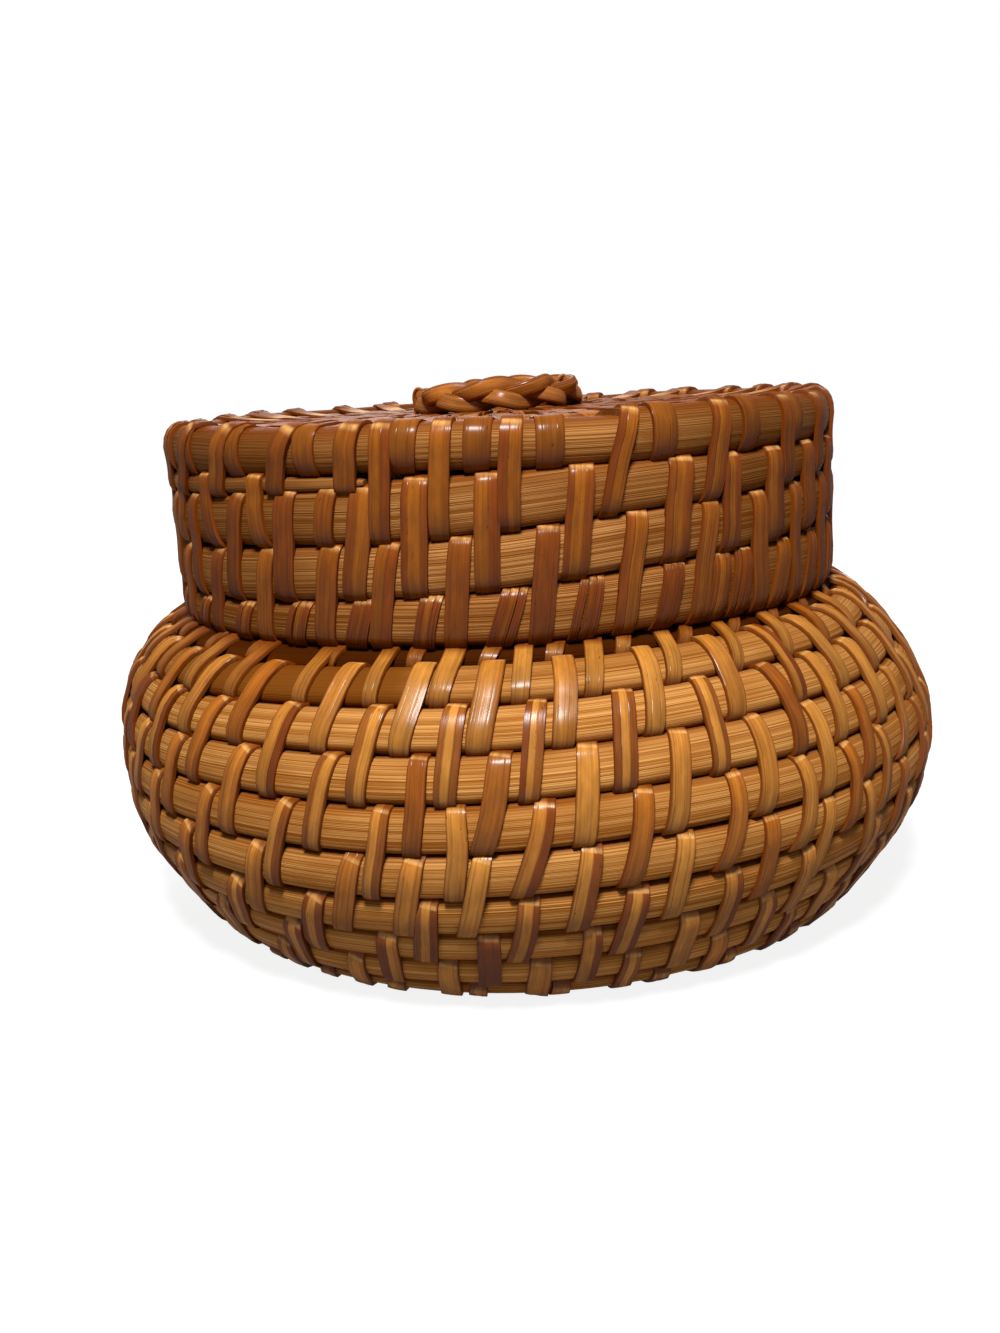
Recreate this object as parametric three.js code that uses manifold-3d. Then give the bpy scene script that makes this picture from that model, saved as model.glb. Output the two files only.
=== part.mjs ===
// A round lidded basket of coiled rattan rod, in millimetres, +Z up, standing on z = 0.
// The body is one coil that starts at the middle of the base, runs out to the foot, climbs the
// belly and ends in a level shoulder. A collar coil stands in the mouth, and the lid's skirt drops
// over it and rests on the shoulder. A plaited ring lashed to the lid's top is its grip.
// Each coil is built from lengths of rod whose slanted ends meet in scarf joints.

import * as THREE from "three";
import { mergeVertices } from "three/addons/utils/BufferGeometryUtils.js";
import Module from "manifold-3d";

// Fits and joints
const ROW_GAP = 0.9; // between one turn of a coil and the next
const SEAT_GAP = 0.3; // between pieces that touch
const SCARF_REACH = 3; // how far a slanted rod end runs out each side of its middle
const THIN_END = 0.25; // share of its full height at which a tapered rod end is cut off
const SKIRT_THIN_END = 0.08; // the same share for the finer ends of the lid's skirt
const STEPS_PER_TURN = 24; // facets round one turn
const WIDE_STEP_RADIUS = 30; // turns smaller than this have half as many facets
const FLAT_SHARE = 0.34; // share of a rod's thickness where it lies flat against the next row

// Body, measured along the middle of its wall
const BODY_THICKNESS = 5.6;
const BODY_PITCH = 7.5; // from one row to the next
const BUTTON_RADIUS = 5; // the knot that a flat coil starts from
const FOOT_FILLET = 9;
const FOOT_FLAT = 0.5; // how deep the rods that it stands on are worn flat
const FLANK_SLOPE = THREE.MathUtils.degToRad(57); // above the horizontal
const FLANK_TOP_HEIGHT = 16.1; // where the straight flank gives way to the belly's arc
const BELLY_RADIUS = 31; // of the arc that the belly's outline follows
const SHOULDER_ANGLE = THREE.MathUtils.degToRad(45); // where that arc ends, above its centre
const SHOULDER_RADIUS = 16; // of the tighter arc that brings the wall level
const LEDGE_WIDTH = 1.2; // level stretch from there to the collar
const MOUTH_DRIFT = -2.3; // the mouth and the lid sit this far along X from the belly's axis
const BASE_ROD_COUNT = 2;
const WALL_ROD_COUNT = 10;

// Collar that stands in the mouth
const COLLAR_OUTER_RADIUS = 60.8;
const COLLAR_THICKNESS = 5.4;
const COLLAR_PITCH = 7.4;
const COLLAR_ROWS = 3;

// Lid
const LID_CLEARANCE = 1.4; // between the collar and the skirt
const LID_THICKNESS = 6.2;
const SKIRT_PITCH = 9.5;
const SKIRT_ROWS = 3;
const SKIRT_START = THREE.MathUtils.degToRad(270); // its coil begins as a thin end here
const SKIRT_FALL_SWING = 1.1; // how much steeper than steady its rows fall across the front
const SKIRT_FALL_RIPPLE = 0.35; // and how much more where they are steepest
const SKIRT_LEVEL_FROM = 2.2; // over these turns its lower edge becomes level
const SKIRT_LEVEL_TO = 2.8;
const HOOP_HEIGHT = 8.6; // the rod round the lid's edge
const HOOP_JOIN = THREE.MathUtils.degToRad(285.6); // where its scarfed ends meet
const LID_TOP_THICKNESS = 5.6;
const LID_TOP_SUNK = 0.9; // the flat top lies this far below the edge
const LID_TOP_PITCH = 8.2;
const LID_TOP_ROD_COUNT = 2;

// Plaited ring on the lid
const GRIP_RADIUS = 15.4; // at the middle of the plait
const PLAIT_TURNS = 3; // full swings of each strand round the ring
const PLAIT_SWING = 2.55; // how far a strand swings up and down
const PLAIT_WEAVE = 1.5; // how far it swings in and out
const STRAND_COUNT = 3;
const STRAND_WIDTH = 3.1;
const STRAND_THICKNESS = 1.7;
const STRAND_TWIST = 0.4; // in radians, how far a strand rolls over where it crosses the others
const STRAND_STEPS = 60;
const LASHING_WIDTH = 2.6;
const LASHING_THICKNESS = 0.9;
const LASHING_CORNER = 1.3;
const LASHING_CORNER_STEPS = 3;

const FULL_TURN = 2 * Math.PI;
const STEP = FULL_TURN / STEPS_PER_TURN;
const FRONT = -Math.PI / 2;

// Heights and radii that follow from the sizes above
const BASE_MIDDLE = BODY_THICKNESS / 2 - FOOT_FLAT;
const BELLY_HEIGHT = FLANK_TOP_HEIGHT + BELLY_RADIUS * Math.cos(FLANK_SLOPE);
const LEDGE_INNER_RADIUS = COLLAR_OUTER_RADIUS + SEAT_GAP;
const SHOULDER_CENTRE = LEDGE_INNER_RADIUS + LEDGE_WIDTH;
const BELLY_CENTRE = SHOULDER_CENTRE - (BELLY_RADIUS - SHOULDER_RADIUS) * Math.cos(SHOULDER_ANGLE);
const SHOULDER_CENTRE_HEIGHT =
  BELLY_HEIGHT + (BELLY_RADIUS - SHOULDER_RADIUS) * Math.sin(SHOULDER_ANGLE);
const LEDGE_HEIGHT = SHOULDER_CENTRE_HEIGHT + SHOULDER_RADIUS;
const LEDGE_TOP = LEDGE_HEIGHT + BODY_THICKNESS / 2;
const COLLAR_FOOT = LEDGE_HEIGHT - BODY_THICKNESS / 2;
const SKIRT_RADIUS = COLLAR_OUTER_RADIUS + LID_CLEARANCE + LID_THICKNESS / 2;
const SKIRT_TOP = LEDGE_TOP + SEAT_GAP - ROW_GAP / 2 + SKIRT_ROWS * SKIRT_PITCH;
const LID_HEIGHT = SKIRT_TOP + HOOP_HEIGHT;
const LID_TOP_SURFACE = LID_HEIGHT - LID_TOP_SUNK;
const LID_TOP_MIDDLE = LID_TOP_SURFACE - LID_TOP_THICKNESS / 2;
const LID_TOP_RADIUS = SKIRT_RADIUS - LID_THICKNESS / 2;
const GRIP_MIDDLE = LID_TOP_SURFACE + SEAT_GAP + PLAIT_SWING + STRAND_WIDTH / 2;

const BODY_CANE = 0xb98546;
const LID_CANE = 0xa05f22;
const PLAIT_CANE = 0x8c4c1a;

const wasm = await Module();
wasm.setup();

// Closed solids joined or cut by booleans

function toSolid(geometry) {
  const bare = geometry.clone();
  bare.deleteAttribute("normal");
  bare.deleteAttribute("uv");
  const merged = mergeVertices(bare, 1e-4);
  return new wasm.Manifold(
    new wasm.Mesh({
      numProp: 3,
      vertProperties: Float32Array.from(merged.attributes.position.array),
      triVerts: Uint32Array.from(merged.index.array),
    }),
  );
}

function toGeometry(solid) {
  const mesh = solid.getMesh();
  const geometry = new THREE.BufferGeometry();
  geometry.setAttribute("position", new THREE.BufferAttribute(mesh.vertProperties, 3));
  geometry.setIndex(new THREE.BufferAttribute(mesh.triVerts, 1));
  geometry.computeVertexNormals();
  return geometry;
}

function cutAway(geometry, cutters) {
  let solid = toSolid(geometry);
  for (const cutter of cutters) {
    solid = solid.subtract(toSolid(cutter));
  }
  return toGeometry(solid);
}

// Skins a row of sections, each a ring of points given in the same order. An open skin gets an
// end face at each end, and a looped one joins its last section to its first.
function skin(sections, looped = false) {
  const sides = sections[0].length;
  const positions = sections.flat().flatMap((point) => point.toArray());
  const faces = [];
  const joins = looped ? sections.length : sections.length - 1;
  for (let i = 0; i < joins; i += 1) {
    const here = i * sides;
    const next = ((i + 1) % sections.length) * sides;
    for (let j = 0; j < sides; j += 1) {
      const k = (j + 1) % sides;
      faces.push(here + j, here + k, next + k);
      faces.push(here + j, next + k, next + j);
    }
  }
  if (!looped) {
    const last = (sections.length - 1) * sides;
    for (let j = 1; j < sides - 1; j += 1) {
      faces.push(0, j + 1, j);
      faces.push(last, last + j, last + j + 1);
    }
  }
  const geometry = new THREE.BufferGeometry();
  geometry.setAttribute("position", new THREE.Float32BufferAttribute(positions, 3));
  geometry.setIndex(faces);
  if (toSolid(geometry).volume() < 0) {
    geometry.setIndex(faces.reverse());
  }
  geometry.computeVertexNormals();
  return geometry;
}

// Profiles: the lines that a coil's rows follow, as curves of (radius, height)

function arc(centre, radius, from, to) {
  return new THREE.EllipseCurve(centre.x, centre.y, radius, radius, from, to, from > to, 0);
}

function line(from, to) {
  return new THREE.LineCurve(from, to);
}

// The base, the rounded foot, the straight flank, the belly's arc, the shoulder and the ledge.
function bodyProfile() {
  const flankNormal = FLANK_SLOPE - Math.PI / 2;
  const bellyCentre = new THREE.Vector2(BELLY_CENTRE, BELLY_HEIGHT);
  const shoulderCentre = new THREE.Vector2(SHOULDER_CENTRE, SHOULDER_CENTRE_HEIGHT);
  const flankTop = new THREE.Vector2(Math.cos(flankNormal), Math.sin(flankNormal))
    .multiplyScalar(BELLY_RADIUS)
    .add(bellyCentre);
  const footCorner = flankTop.x - (flankTop.y - BASE_MIDDLE) / Math.tan(FLANK_SLOPE);
  const tangent = FOOT_FILLET * Math.tan(FLANK_SLOPE / 2);
  const filletCentre = new THREE.Vector2(footCorner - tangent, BASE_MIDDLE + FOOT_FILLET);
  const flankFoot = new THREE.Vector2(Math.cos(flankNormal), Math.sin(flankNormal))
    .multiplyScalar(FOOT_FILLET)
    .add(filletCentre);
  const path = new THREE.CurvePath();
  path.add(
    line(new THREE.Vector2(0, BASE_MIDDLE), new THREE.Vector2(footCorner - tangent, BASE_MIDDLE)),
  );
  path.add(arc(filletCentre, FOOT_FILLET, FRONT, flankNormal));
  path.add(line(flankFoot, flankTop));
  path.add(arc(bellyCentre, BELLY_RADIUS, flankNormal, SHOULDER_ANGLE));
  path.add(arc(shoulderCentre, SHOULDER_RADIUS, SHOULDER_ANGLE, Math.PI / 2));
  path.add(
    line(
      new THREE.Vector2(SHOULDER_CENTRE, LEDGE_HEIGHT),
      new THREE.Vector2(LEDGE_INNER_RADIUS, LEDGE_HEIGHT),
    ),
  );
  return path;
}

function straightProfile(fromRadius, fromHeight, toRadius, toHeight) {
  const path = new THREE.CurvePath();
  path.add(line(new THREE.Vector2(fromRadius, fromHeight), new THREE.Vector2(toRadius, toHeight)));
  return path;
}

// How far the wall at a height has drifted along X on its way up to the mouth.
function drift(height) {
  return MOUTH_DRIFT * THREE.MathUtils.smoothstep(height, BELLY_HEIGHT, COLLAR_FOOT);
}

// Coils

// A plain spiral moves one pitch along its profile in every turn, at a steady rate.
function steady(turn) {
  return turn;
}

// The skirt's rows fall steeply across the front and run nearly level round the back. The last
// ones grow taller until the lower edge is level.
function steepAtFront(turn) {
  const angle = FULL_TURN * turn;
  const swing = (SKIRT_FALL_SWING * Math.sin(angle)) / FULL_TURN;
  const ripple = (SKIRT_FALL_RIPPLE * Math.sin(2 * angle)) / (2 * FULL_TURN);
  const fall = turn + swing + ripple;
  const levelled = THREE.MathUtils.smoothstep(turn, SKIRT_LEVEL_FROM, SKIRT_LEVEL_TO);
  return THREE.MathUtils.lerp(fall, SKIRT_ROWS, levelled);
}

// A coil fills the stretch of its profile from first to last. Its first and last turns taper, so
// both edges of the stretch are level. way is 1 for a coil that runs anticlockwise seen from above.
function makeCoil({
  profile,
  first,
  last,
  pitch,
  thickness,
  start,
  way = 1,
  advance = steady,
  thinEnd = THIN_END,
}) {
  const coil = { profile, first, last, pitch, thickness, start, way, advance };
  coil.length = profile.getLength();
  const full = pitch - ROW_GAP;
  const tallEnough = (turn) => {
    const { low, high } = bandAt(coil, turn);
    return high - low - ROW_GAP >= thinEnd * full;
  };
  const turns = [];
  for (let i = 1; i <= ((last - first) / pitch + 1) * STEPS_PER_TURN; i += 1) {
    if (tallEnough(i / STEPS_PER_TURN)) {
      turns.push(i / STEPS_PER_TURN);
    }
  }
  coil.from = turns[0];
  coil.to = turns[turns.length - 1];
  return coil;
}

// The stretch of profile that belongs to the rod at a turn, with half a gap on each side of it.
function bandAt(coil, turn) {
  const before = turn < 1 ? -1 : coil.advance(turn - 1);
  return {
    low: Math.max(coil.first, coil.first + coil.pitch * before),
    high: Math.min(coil.last, coil.first + coil.pitch * coil.advance(turn)),
  };
}

// The rod's section at a turn: six points, flat towards the rows on either side of it. lean slants
// the section along the rod, further on its outer face than on its inner one.
function coilSection(coil, turn, lean = 0) {
  const { low, high } = bandAt(coil, turn);
  const share = (low + high) / 2 / coil.length;
  const middle = coil.profile.getPoint(share);
  const along = coil.profile.getTangent(share);
  const outward = new THREE.Vector2(along.y, -along.x).multiplyScalar(coil.way);
  const halfHeight = (high - low - ROW_GAP) / 2;
  const fullness = halfHeight / ((coil.pitch - ROW_GAP) / 2);
  const halfThickness = (coil.thickness / 2) * Math.sqrt(Math.min(1, fullness));
  const flat = FLAT_SHARE * halfThickness;
  const corners = [
    [halfThickness, 0],
    [flat, halfHeight],
    [-flat, halfHeight],
    [-halfThickness, 0],
    [-flat, -halfHeight],
    [flat, -halfHeight],
  ];
  return corners.map(([out, up]) => {
    const spot = middle.clone().addScaledVector(outward, out).addScaledVector(along, up);
    const slant = (lean * out) / (coil.thickness / 2) / middle.x;
    const angle = coil.start + coil.way * (FULL_TURN * turn + slant);
    return new THREE.Vector3(
      spot.x * Math.cos(angle) + drift(spot.y),
      spot.x * Math.sin(angle),
      spot.y,
    );
  });
}

// One length of rod. Where it meets another length, its end is slanted and half a fit short.
function rodGeometry(coil, from, to) {
  const sections = [];
  const radiusAt = (turn) => {
    const { low, high } = bandAt(coil, turn);
    return coil.profile.getPoint((low + high) / 2 / coil.length).x;
  };
  const back = (turn) => SEAT_GAP / 2 / radiusAt(turn) / FULL_TURN;
  const startsCoil = from === coil.from;
  const endsCoil = to === coil.to;
  const reach = (turn) => SCARF_REACH / radiusAt(turn) / FULL_TURN + back(turn);
  sections.push(coilSection(coil, startsCoil ? from : from + back(from), startsCoil ? 0 : SCARF_REACH));
  const nearScarf = (turn) =>
    (!startsCoil && turn - from < 1.2 * reach(from)) || (!endsCoil && to - turn < 1.2 * reach(to));
  const firstStep = Math.floor(from * STEPS_PER_TURN + 1e-6) + 1;
  for (let step = firstStep; step < to * STEPS_PER_TURN - 1e-6; step += 1) {
    const turn = step / STEPS_PER_TURN;
    const coarse = radiusAt(turn) < WIDE_STEP_RADIUS && step % 2 === 1;
    if (!coarse && !nearScarf(turn)) {
      sections.push(coilSection(coil, turn));
    }
  }
  sections.push(coilSection(coil, endsCoil ? to : to - back(to), endsCoil ? 0 : SCARF_REACH));
  return skin(sections);
}

// The least gap between neighbouring turns, over the corners of their sections.
function leastGap(coil) {
  let least = Infinity;
  for (let turn = coil.from; turn + 1 <= coil.to; turn += 1 / STEPS_PER_TURN) {
    const next = coilSection(coil, turn + 1);
    for (const corner of coilSection(coil, turn)) {
      for (const other of next) {
        least = Math.min(least, corner.distanceTo(other));
      }
    }
  }
  return least;
}

// Assembly

const basket = new THREE.Group();

function addPiece(name, geometry, colour, roughness = 0.5) {
  const material = new THREE.MeshStandardMaterial({ color: colour, roughness, metalness: 0 });
  const piece = new THREE.Mesh(geometry, material);
  piece.name = name;
  basket.add(piece);
}

// Splits a stretch of a coil into rods of equal turns and adds each under its number.
function addRods(name, coil, from, to, count, colour, finish = (geometry) => geometry) {
  const lengthInSteps = Math.round(((to - from) * STEPS_PER_TURN) / count);
  for (let i = 0; i < count; i += 1) {
    const rodFrom = i === 0 ? from : from + (i * lengthInSteps) / STEPS_PER_TURN;
    const rodTo = i === count - 1 ? to : from + ((i + 1) * lengthInSteps) / STEPS_PER_TURN;
    const number = count > 1 ? `_${i + 1}` : "";
    addPiece(`${name}${number}`, finish(rodGeometry(coil, rodFrom, rodTo)), colour);
  }
}

function reportGap(name, coil) {
  console.log(`least gap between the turns of the ${name}: ${leastGap(coil).toFixed(2)} mm`);
}

function addButton(name, bottom, top, colour) {
  const radius = BUTTON_RADIUS - SEAT_GAP;
  const crown = (top - bottom) / 4;
  const outline = [
    new THREE.Vector2(0, bottom),
    new THREE.Vector2(radius - crown, bottom),
    new THREE.Vector2(radius, bottom + crown),
    new THREE.Vector2(radius, top - crown),
    new THREE.Vector2(radius - crown, top - crown / 3),
    new THREE.Vector2(0, top),
  ];
  const geometry = new THREE.LatheGeometry(outline, STEPS_PER_TURN / 2);
  geometry.rotateX(Math.PI / 2);
  geometry.translate(drift(bottom), 0, 0);
  addPiece(name, geometry, colour);
}

// Takes off what reaches below the ground, which leaves the rods worn flat there.
function wearFlat(geometry) {
  const span = 4 * BELLY_CENTRE + 4 * BELLY_RADIUS;
  const ground = new THREE.BoxGeometry(span, span, BODY_THICKNESS);
  ground.translate(0, 0, -BODY_THICKNESS / 2);
  return cutAway(geometry, [ground]);
}

function addBody() {
  addButton("base_button", 0, BASE_MIDDLE + BODY_THICKNESS / 2, BODY_CANE);
  const profile = bodyProfile();
  const lengths = profile.getCurveLengths();
  const first = BUTTON_RADIUS - ROW_GAP / 2 + SEAT_GAP;
  const bellyMiddle = lengths[2] + BELLY_RADIUS * (Math.PI / 2 - FLANK_SLOPE);
  const turnsToBelly = (bellyMiddle - first) / BODY_PITCH + 1;
  const coil = makeCoil({
    profile,
    first,
    last: profile.getLength() + ROW_GAP / 2,
    pitch: BODY_PITCH,
    thickness: BODY_THICKNESS,
    start: Math.round((FRONT - FULL_TURN * turnsToBelly) / STEP) * STEP,
  });
  const turnsToFoot = Math.round(((lengths[0] - first) / BODY_PITCH) * STEPS_PER_TURN) / STEPS_PER_TURN;
  addRods("base_rod", coil, coil.from, turnsToFoot, BASE_ROD_COUNT, BODY_CANE, wearFlat);
  addRods("wall_rod", coil, turnsToFoot, coil.to, WALL_ROD_COUNT, BODY_CANE, wearFlat);
  reportGap("body", coil);
}

function addCollar() {
  const middle = COLLAR_OUTER_RADIUS - COLLAR_THICKNESS / 2;
  const height = COLLAR_ROWS * COLLAR_PITCH;
  const coil = makeCoil({
    profile: straightProfile(middle, COLLAR_FOOT, middle, COLLAR_FOOT + height),
    first: 0,
    last: height,
    pitch: COLLAR_PITCH,
    thickness: COLLAR_THICKNESS,
    start: 0,
  });
  addRods("collar_rod", coil, coil.from, coil.to, COLLAR_ROWS, BODY_CANE);
  reportGap("collar", coil);
}

// The slots through the lid's top that the grip's lashings are threaded through.
function lashingSlots() {
  const slots = [];
  for (const side of [-1, 1]) {
    for (const leg of [-1, 1]) {
      const slot = new THREE.BoxGeometry(
        LASHING_THICKNESS + 2 * SEAT_GAP,
        LASHING_WIDTH + 2 * SEAT_GAP,
        2 * LID_TOP_THICKNESS,
      );
      slot.translate(MOUTH_DRIFT + side * (GRIP_RADIUS + leg * lashingHalfSpan()), 0, LID_TOP_MIDDLE);
      slots.push(slot);
    }
  }
  return slots;
}

function lashingHalfSpan() {
  return PLAIT_WEAVE + STRAND_THICKNESS / 2 + SEAT_GAP + LASHING_THICKNESS / 2;
}

function addLidTop() {
  addButton("lid_button", LID_TOP_MIDDLE - LID_TOP_THICKNESS / 2, LID_TOP_SURFACE, LID_CANE);
  const coil = makeCoil({
    profile: straightProfile(0, LID_TOP_MIDDLE, LID_TOP_RADIUS, LID_TOP_MIDDLE),
    first: BUTTON_RADIUS - ROW_GAP / 2 + SEAT_GAP,
    last: LID_TOP_RADIUS,
    pitch: LID_TOP_PITCH,
    thickness: LID_TOP_THICKNESS,
    start: 0,
    way: -1,
  });
  const slots = lashingSlots();
  addRods("lid_top_rod", coil, coil.from, coil.to, LID_TOP_ROD_COUNT, LID_CANE, (rod) => cutAway(rod, slots));
  reportGap("lid's top", coil);
}

function addSkirt() {
  const height = SKIRT_ROWS * SKIRT_PITCH;
  const coil = makeCoil({
    profile: straightProfile(SKIRT_RADIUS, SKIRT_TOP, SKIRT_RADIUS, SKIRT_TOP - height),
    first: 0,
    last: height,
    pitch: SKIRT_PITCH,
    thickness: LID_THICKNESS,
    start: SKIRT_START,
    way: -1,
    advance: steepAtFront,
    thinEnd: SKIRT_THIN_END,
  });
  addRods("skirt_rod", coil, coil.from, coil.to, SKIRT_ROWS, LID_CANE);
  reportGap("skirt", coil);
}

// The hoop round the lid's edge is one full turn whose scarfed ends meet.
function addHoop() {
  const hoop = {
    profile: straightProfile(SKIRT_RADIUS, SKIRT_TOP, SKIRT_RADIUS, LID_HEIGHT + ROW_GAP / 2),
    first: 0,
    last: HOOP_HEIGHT + ROW_GAP / 2,
    pitch: HOOP_HEIGHT + ROW_GAP / 2,
    thickness: LID_THICKNESS,
    start: HOOP_JOIN,
    way: 1,
    advance: Math.ceil,
  };
  hoop.length = hoop.profile.getLength();
  addPiece("lid_edge_hoop", rodGeometry(hoop, 0, 1), LID_CANE);
}

// One strand of the plait: it swings up and down once while it swings in and out twice.
function strandGeometry(phase) {
  const sections = [];
  const spine = (angle) => {
    const swing = PLAIT_TURNS * angle + phase;
    const radius = GRIP_RADIUS + PLAIT_WEAVE * Math.sin(2 * swing);
    return new THREE.Vector3(
      radius * Math.cos(angle) + MOUTH_DRIFT,
      radius * Math.sin(angle),
      GRIP_MIDDLE + PLAIT_SWING * Math.sin(swing),
    );
  };
  for (let i = 0; i < STRAND_STEPS; i += 1) {
    const angle = (FULL_TURN * i) / STRAND_STEPS;
    const nudge = 1e-3;
    const forward = spine(angle + nudge).sub(spine(angle - nudge)).normalize();
    const outward = new THREE.Vector3(Math.cos(angle), Math.sin(angle), 0);
    const across = new THREE.Vector3().crossVectors(forward, outward).normalize();
    const through = new THREE.Vector3().crossVectors(across, forward);
    const twist = STRAND_TWIST * Math.cos(PLAIT_TURNS * angle + phase);
    across.applyAxisAngle(forward, twist);
    through.applyAxisAngle(forward, twist);
    const section = [];
    for (let j = 0; j < 6; j += 1) {
      const turn = (FULL_TURN * j) / 6;
      section.push(
        spine(angle)
          .addScaledVector(across, (STRAND_WIDTH / 2) * Math.cos(turn))
          .addScaledVector(through, (STRAND_THICKNESS / 2) * Math.sin(turn)),
      );
    }
    sections.push(section);
  }
  return skin(sections, true);
}

// A flat strip that goes over the plait, down through the lid's top and back up, in one loop.
function lashingGeometry(side) {
  const halfSpan = lashingHalfSpan();
  const top = GRIP_MIDDLE + PLAIT_SWING + STRAND_WIDTH / 2 + SEAT_GAP + LASHING_THICKNESS / 2;
  const bottom = LID_TOP_MIDDLE - LID_TOP_THICKNESS / 2 - SEAT_GAP - LASHING_THICKNESS / 2;
  const corners = [
    { x: halfSpan, z: top, from: 0 },
    { x: -halfSpan, z: top, from: 1 },
    { x: -halfSpan, z: bottom, from: 2 },
    { x: halfSpan, z: bottom, from: 3 },
  ];
  const sections = [];
  for (const { x, z, from } of corners) {
    const centreX = x - Math.sign(x) * LASHING_CORNER;
    const centreZ = z - Math.sign(z - (top + bottom) / 2) * LASHING_CORNER;
    for (let i = 0; i <= LASHING_CORNER_STEPS; i += 1) {
      const turn = (Math.PI / 2) * (from + i / LASHING_CORNER_STEPS);
      const place = (out, across) =>
        new THREE.Vector3(
          MOUTH_DRIFT + side * GRIP_RADIUS + centreX + (LASHING_CORNER + out) * Math.cos(turn),
          across,
          centreZ + (LASHING_CORNER + out) * Math.sin(turn),
        );
      const halfThick = LASHING_THICKNESS / 2;
      const halfWide = LASHING_WIDTH / 2;
      sections.push([
        place(halfThick, -halfWide),
        place(halfThick, halfWide),
        place(-halfThick, halfWide),
        place(-halfThick, -halfWide),
      ]);
    }
  }
  return skin(sections, true);
}

function addGrip() {
  for (let i = 0; i < STRAND_COUNT; i += 1) {
    const phase = (FULL_TURN * i) / STRAND_COUNT;
    addPiece(`grip_strand_${i + 1}`, strandGeometry(phase), PLAIT_CANE, 0.4);
  }
  addPiece("grip_lashing_left", lashingGeometry(-1), PLAIT_CANE, 0.4);
  addPiece("grip_lashing_right", lashingGeometry(1), PLAIT_CANE, 0.4);
}

addBody();
addCollar();
addLidTop();
addHoop();
addSkirt();
addGrip();

export default basket;
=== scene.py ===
"""The looks of a round lidded basket of coiled rattan, built on the frame of its CAD part.

Rods run in coils and strips of cane bind each row to the one before it. Lengths are in metres.
Angles in lists are in degrees to the right of the front, as seen from the front.
"""

import collections
import dataclasses
import math

import bpy
import numpy as np
from bpy.props import FloatProperty, FloatVectorProperty, IntProperty, PointerProperty
from mathutils import Matrix, Vector


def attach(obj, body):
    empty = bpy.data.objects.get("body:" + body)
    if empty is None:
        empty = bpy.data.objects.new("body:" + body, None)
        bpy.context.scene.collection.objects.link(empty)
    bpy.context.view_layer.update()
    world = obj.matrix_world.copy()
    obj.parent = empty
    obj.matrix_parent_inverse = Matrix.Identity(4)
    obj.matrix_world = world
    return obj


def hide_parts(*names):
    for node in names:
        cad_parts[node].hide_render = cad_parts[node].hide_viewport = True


bl_info = {
    "name": "Coiled rattan basket",
    "version": (1, 0, 0),
    "blender": (4, 5, 0),
    "location": "3D View > Sidebar > Basket",
    "description": "Rods, cane stitches, a plaited grip and a plain stage for a lidded basket",
    "category": "Add Mesh",
}

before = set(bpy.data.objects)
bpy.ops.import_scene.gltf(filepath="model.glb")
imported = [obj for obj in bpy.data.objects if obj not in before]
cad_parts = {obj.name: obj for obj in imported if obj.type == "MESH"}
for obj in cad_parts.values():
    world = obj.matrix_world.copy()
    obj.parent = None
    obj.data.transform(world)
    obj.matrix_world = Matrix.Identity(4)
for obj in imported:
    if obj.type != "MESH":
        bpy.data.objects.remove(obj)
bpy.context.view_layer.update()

MM = 0.001
FULL_TURN = 2 * math.pi
FRONT = -math.pi / 2

# The coils' fits, as in the CAD part
ROW_GAP = 0.9 * MM
SEAT_GAP = 0.3 * MM
CLOSER = 0.43 * MM  # how much nearer the fine rods come to each other on either side
SCARF_REACH = 3 * MM
BUTTON_RADIUS = 5 * MM
FLAT_START = BUTTON_RADIUS - ROW_GAP / 2 + SEAT_GAP
STEPS_PER_TURN = 24  # the CAD part joins its rods at whole steps
PAST_JOIN = 1e-4  # the turn at which the rod round the lid's edge has its full height


# Sizes and colours that a user would change

def length(name, description, millimetres):
    return FloatProperty(
        name=name, description=description, default=millimetres * MM, unit="LENGTH", subtype="DISTANCE"
    )


def angle(name, description, degrees):
    return FloatProperty(
        name=name, description=description, default=math.radians(degrees), unit="ROTATION", subtype="ANGLE"
    )


def share(name, description, value):
    return FloatProperty(name=name, description=description, default=value, min=0, max=1, subtype="FACTOR")


def colour(name, description, *value):
    return FloatVectorProperty(
        name=name, description=description, default=value, size=3, min=0, max=1, subtype="COLOR"
    )


class BodySizes(bpy.types.PropertyGroup):
    """The body's rods and the line that the middle of its wall follows."""

    thickness: length("Rod thickness", "Through the wall", 5.6)
    pitch: length("Row pitch", "From one row to the next", 7.5)
    foot_flat: length("Foot flat", "How deep the rods it stands on are worn", 0.5)
    foot_fillet: length("Foot fillet", "Radius between base and flank", 9)
    flank_slope: angle("Flank slope", "Of the wall above the foot", 57)
    flank_top: length("Flank top", "Height where the belly's arc begins", 16.1)
    belly_radius: length("Belly radius", "Of the outline's main arc", 31)
    shoulder_angle: angle("Shoulder angle", "Where the belly's arc ends", 45)
    shoulder_radius: length("Shoulder radius", "Of the tighter arc above it", 16)
    ledge_width: length("Ledge width", "Level stretch beside the collar", 1.2)
    mouth_drift: length("Mouth drift", "The mouth's shift along X from the belly", -2.3)
    collar_radius: length("Collar radius", "Outside of the collar in the mouth", 60.8)
    collar_thickness: length("Collar thickness", "Through the collar", 5.4)
    collar_pitch: length("Collar pitch", "From one row to the next", 7.4)
    collar_rows: IntProperty(name="Collar rows", description="Rows in the collar", default=3)


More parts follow.
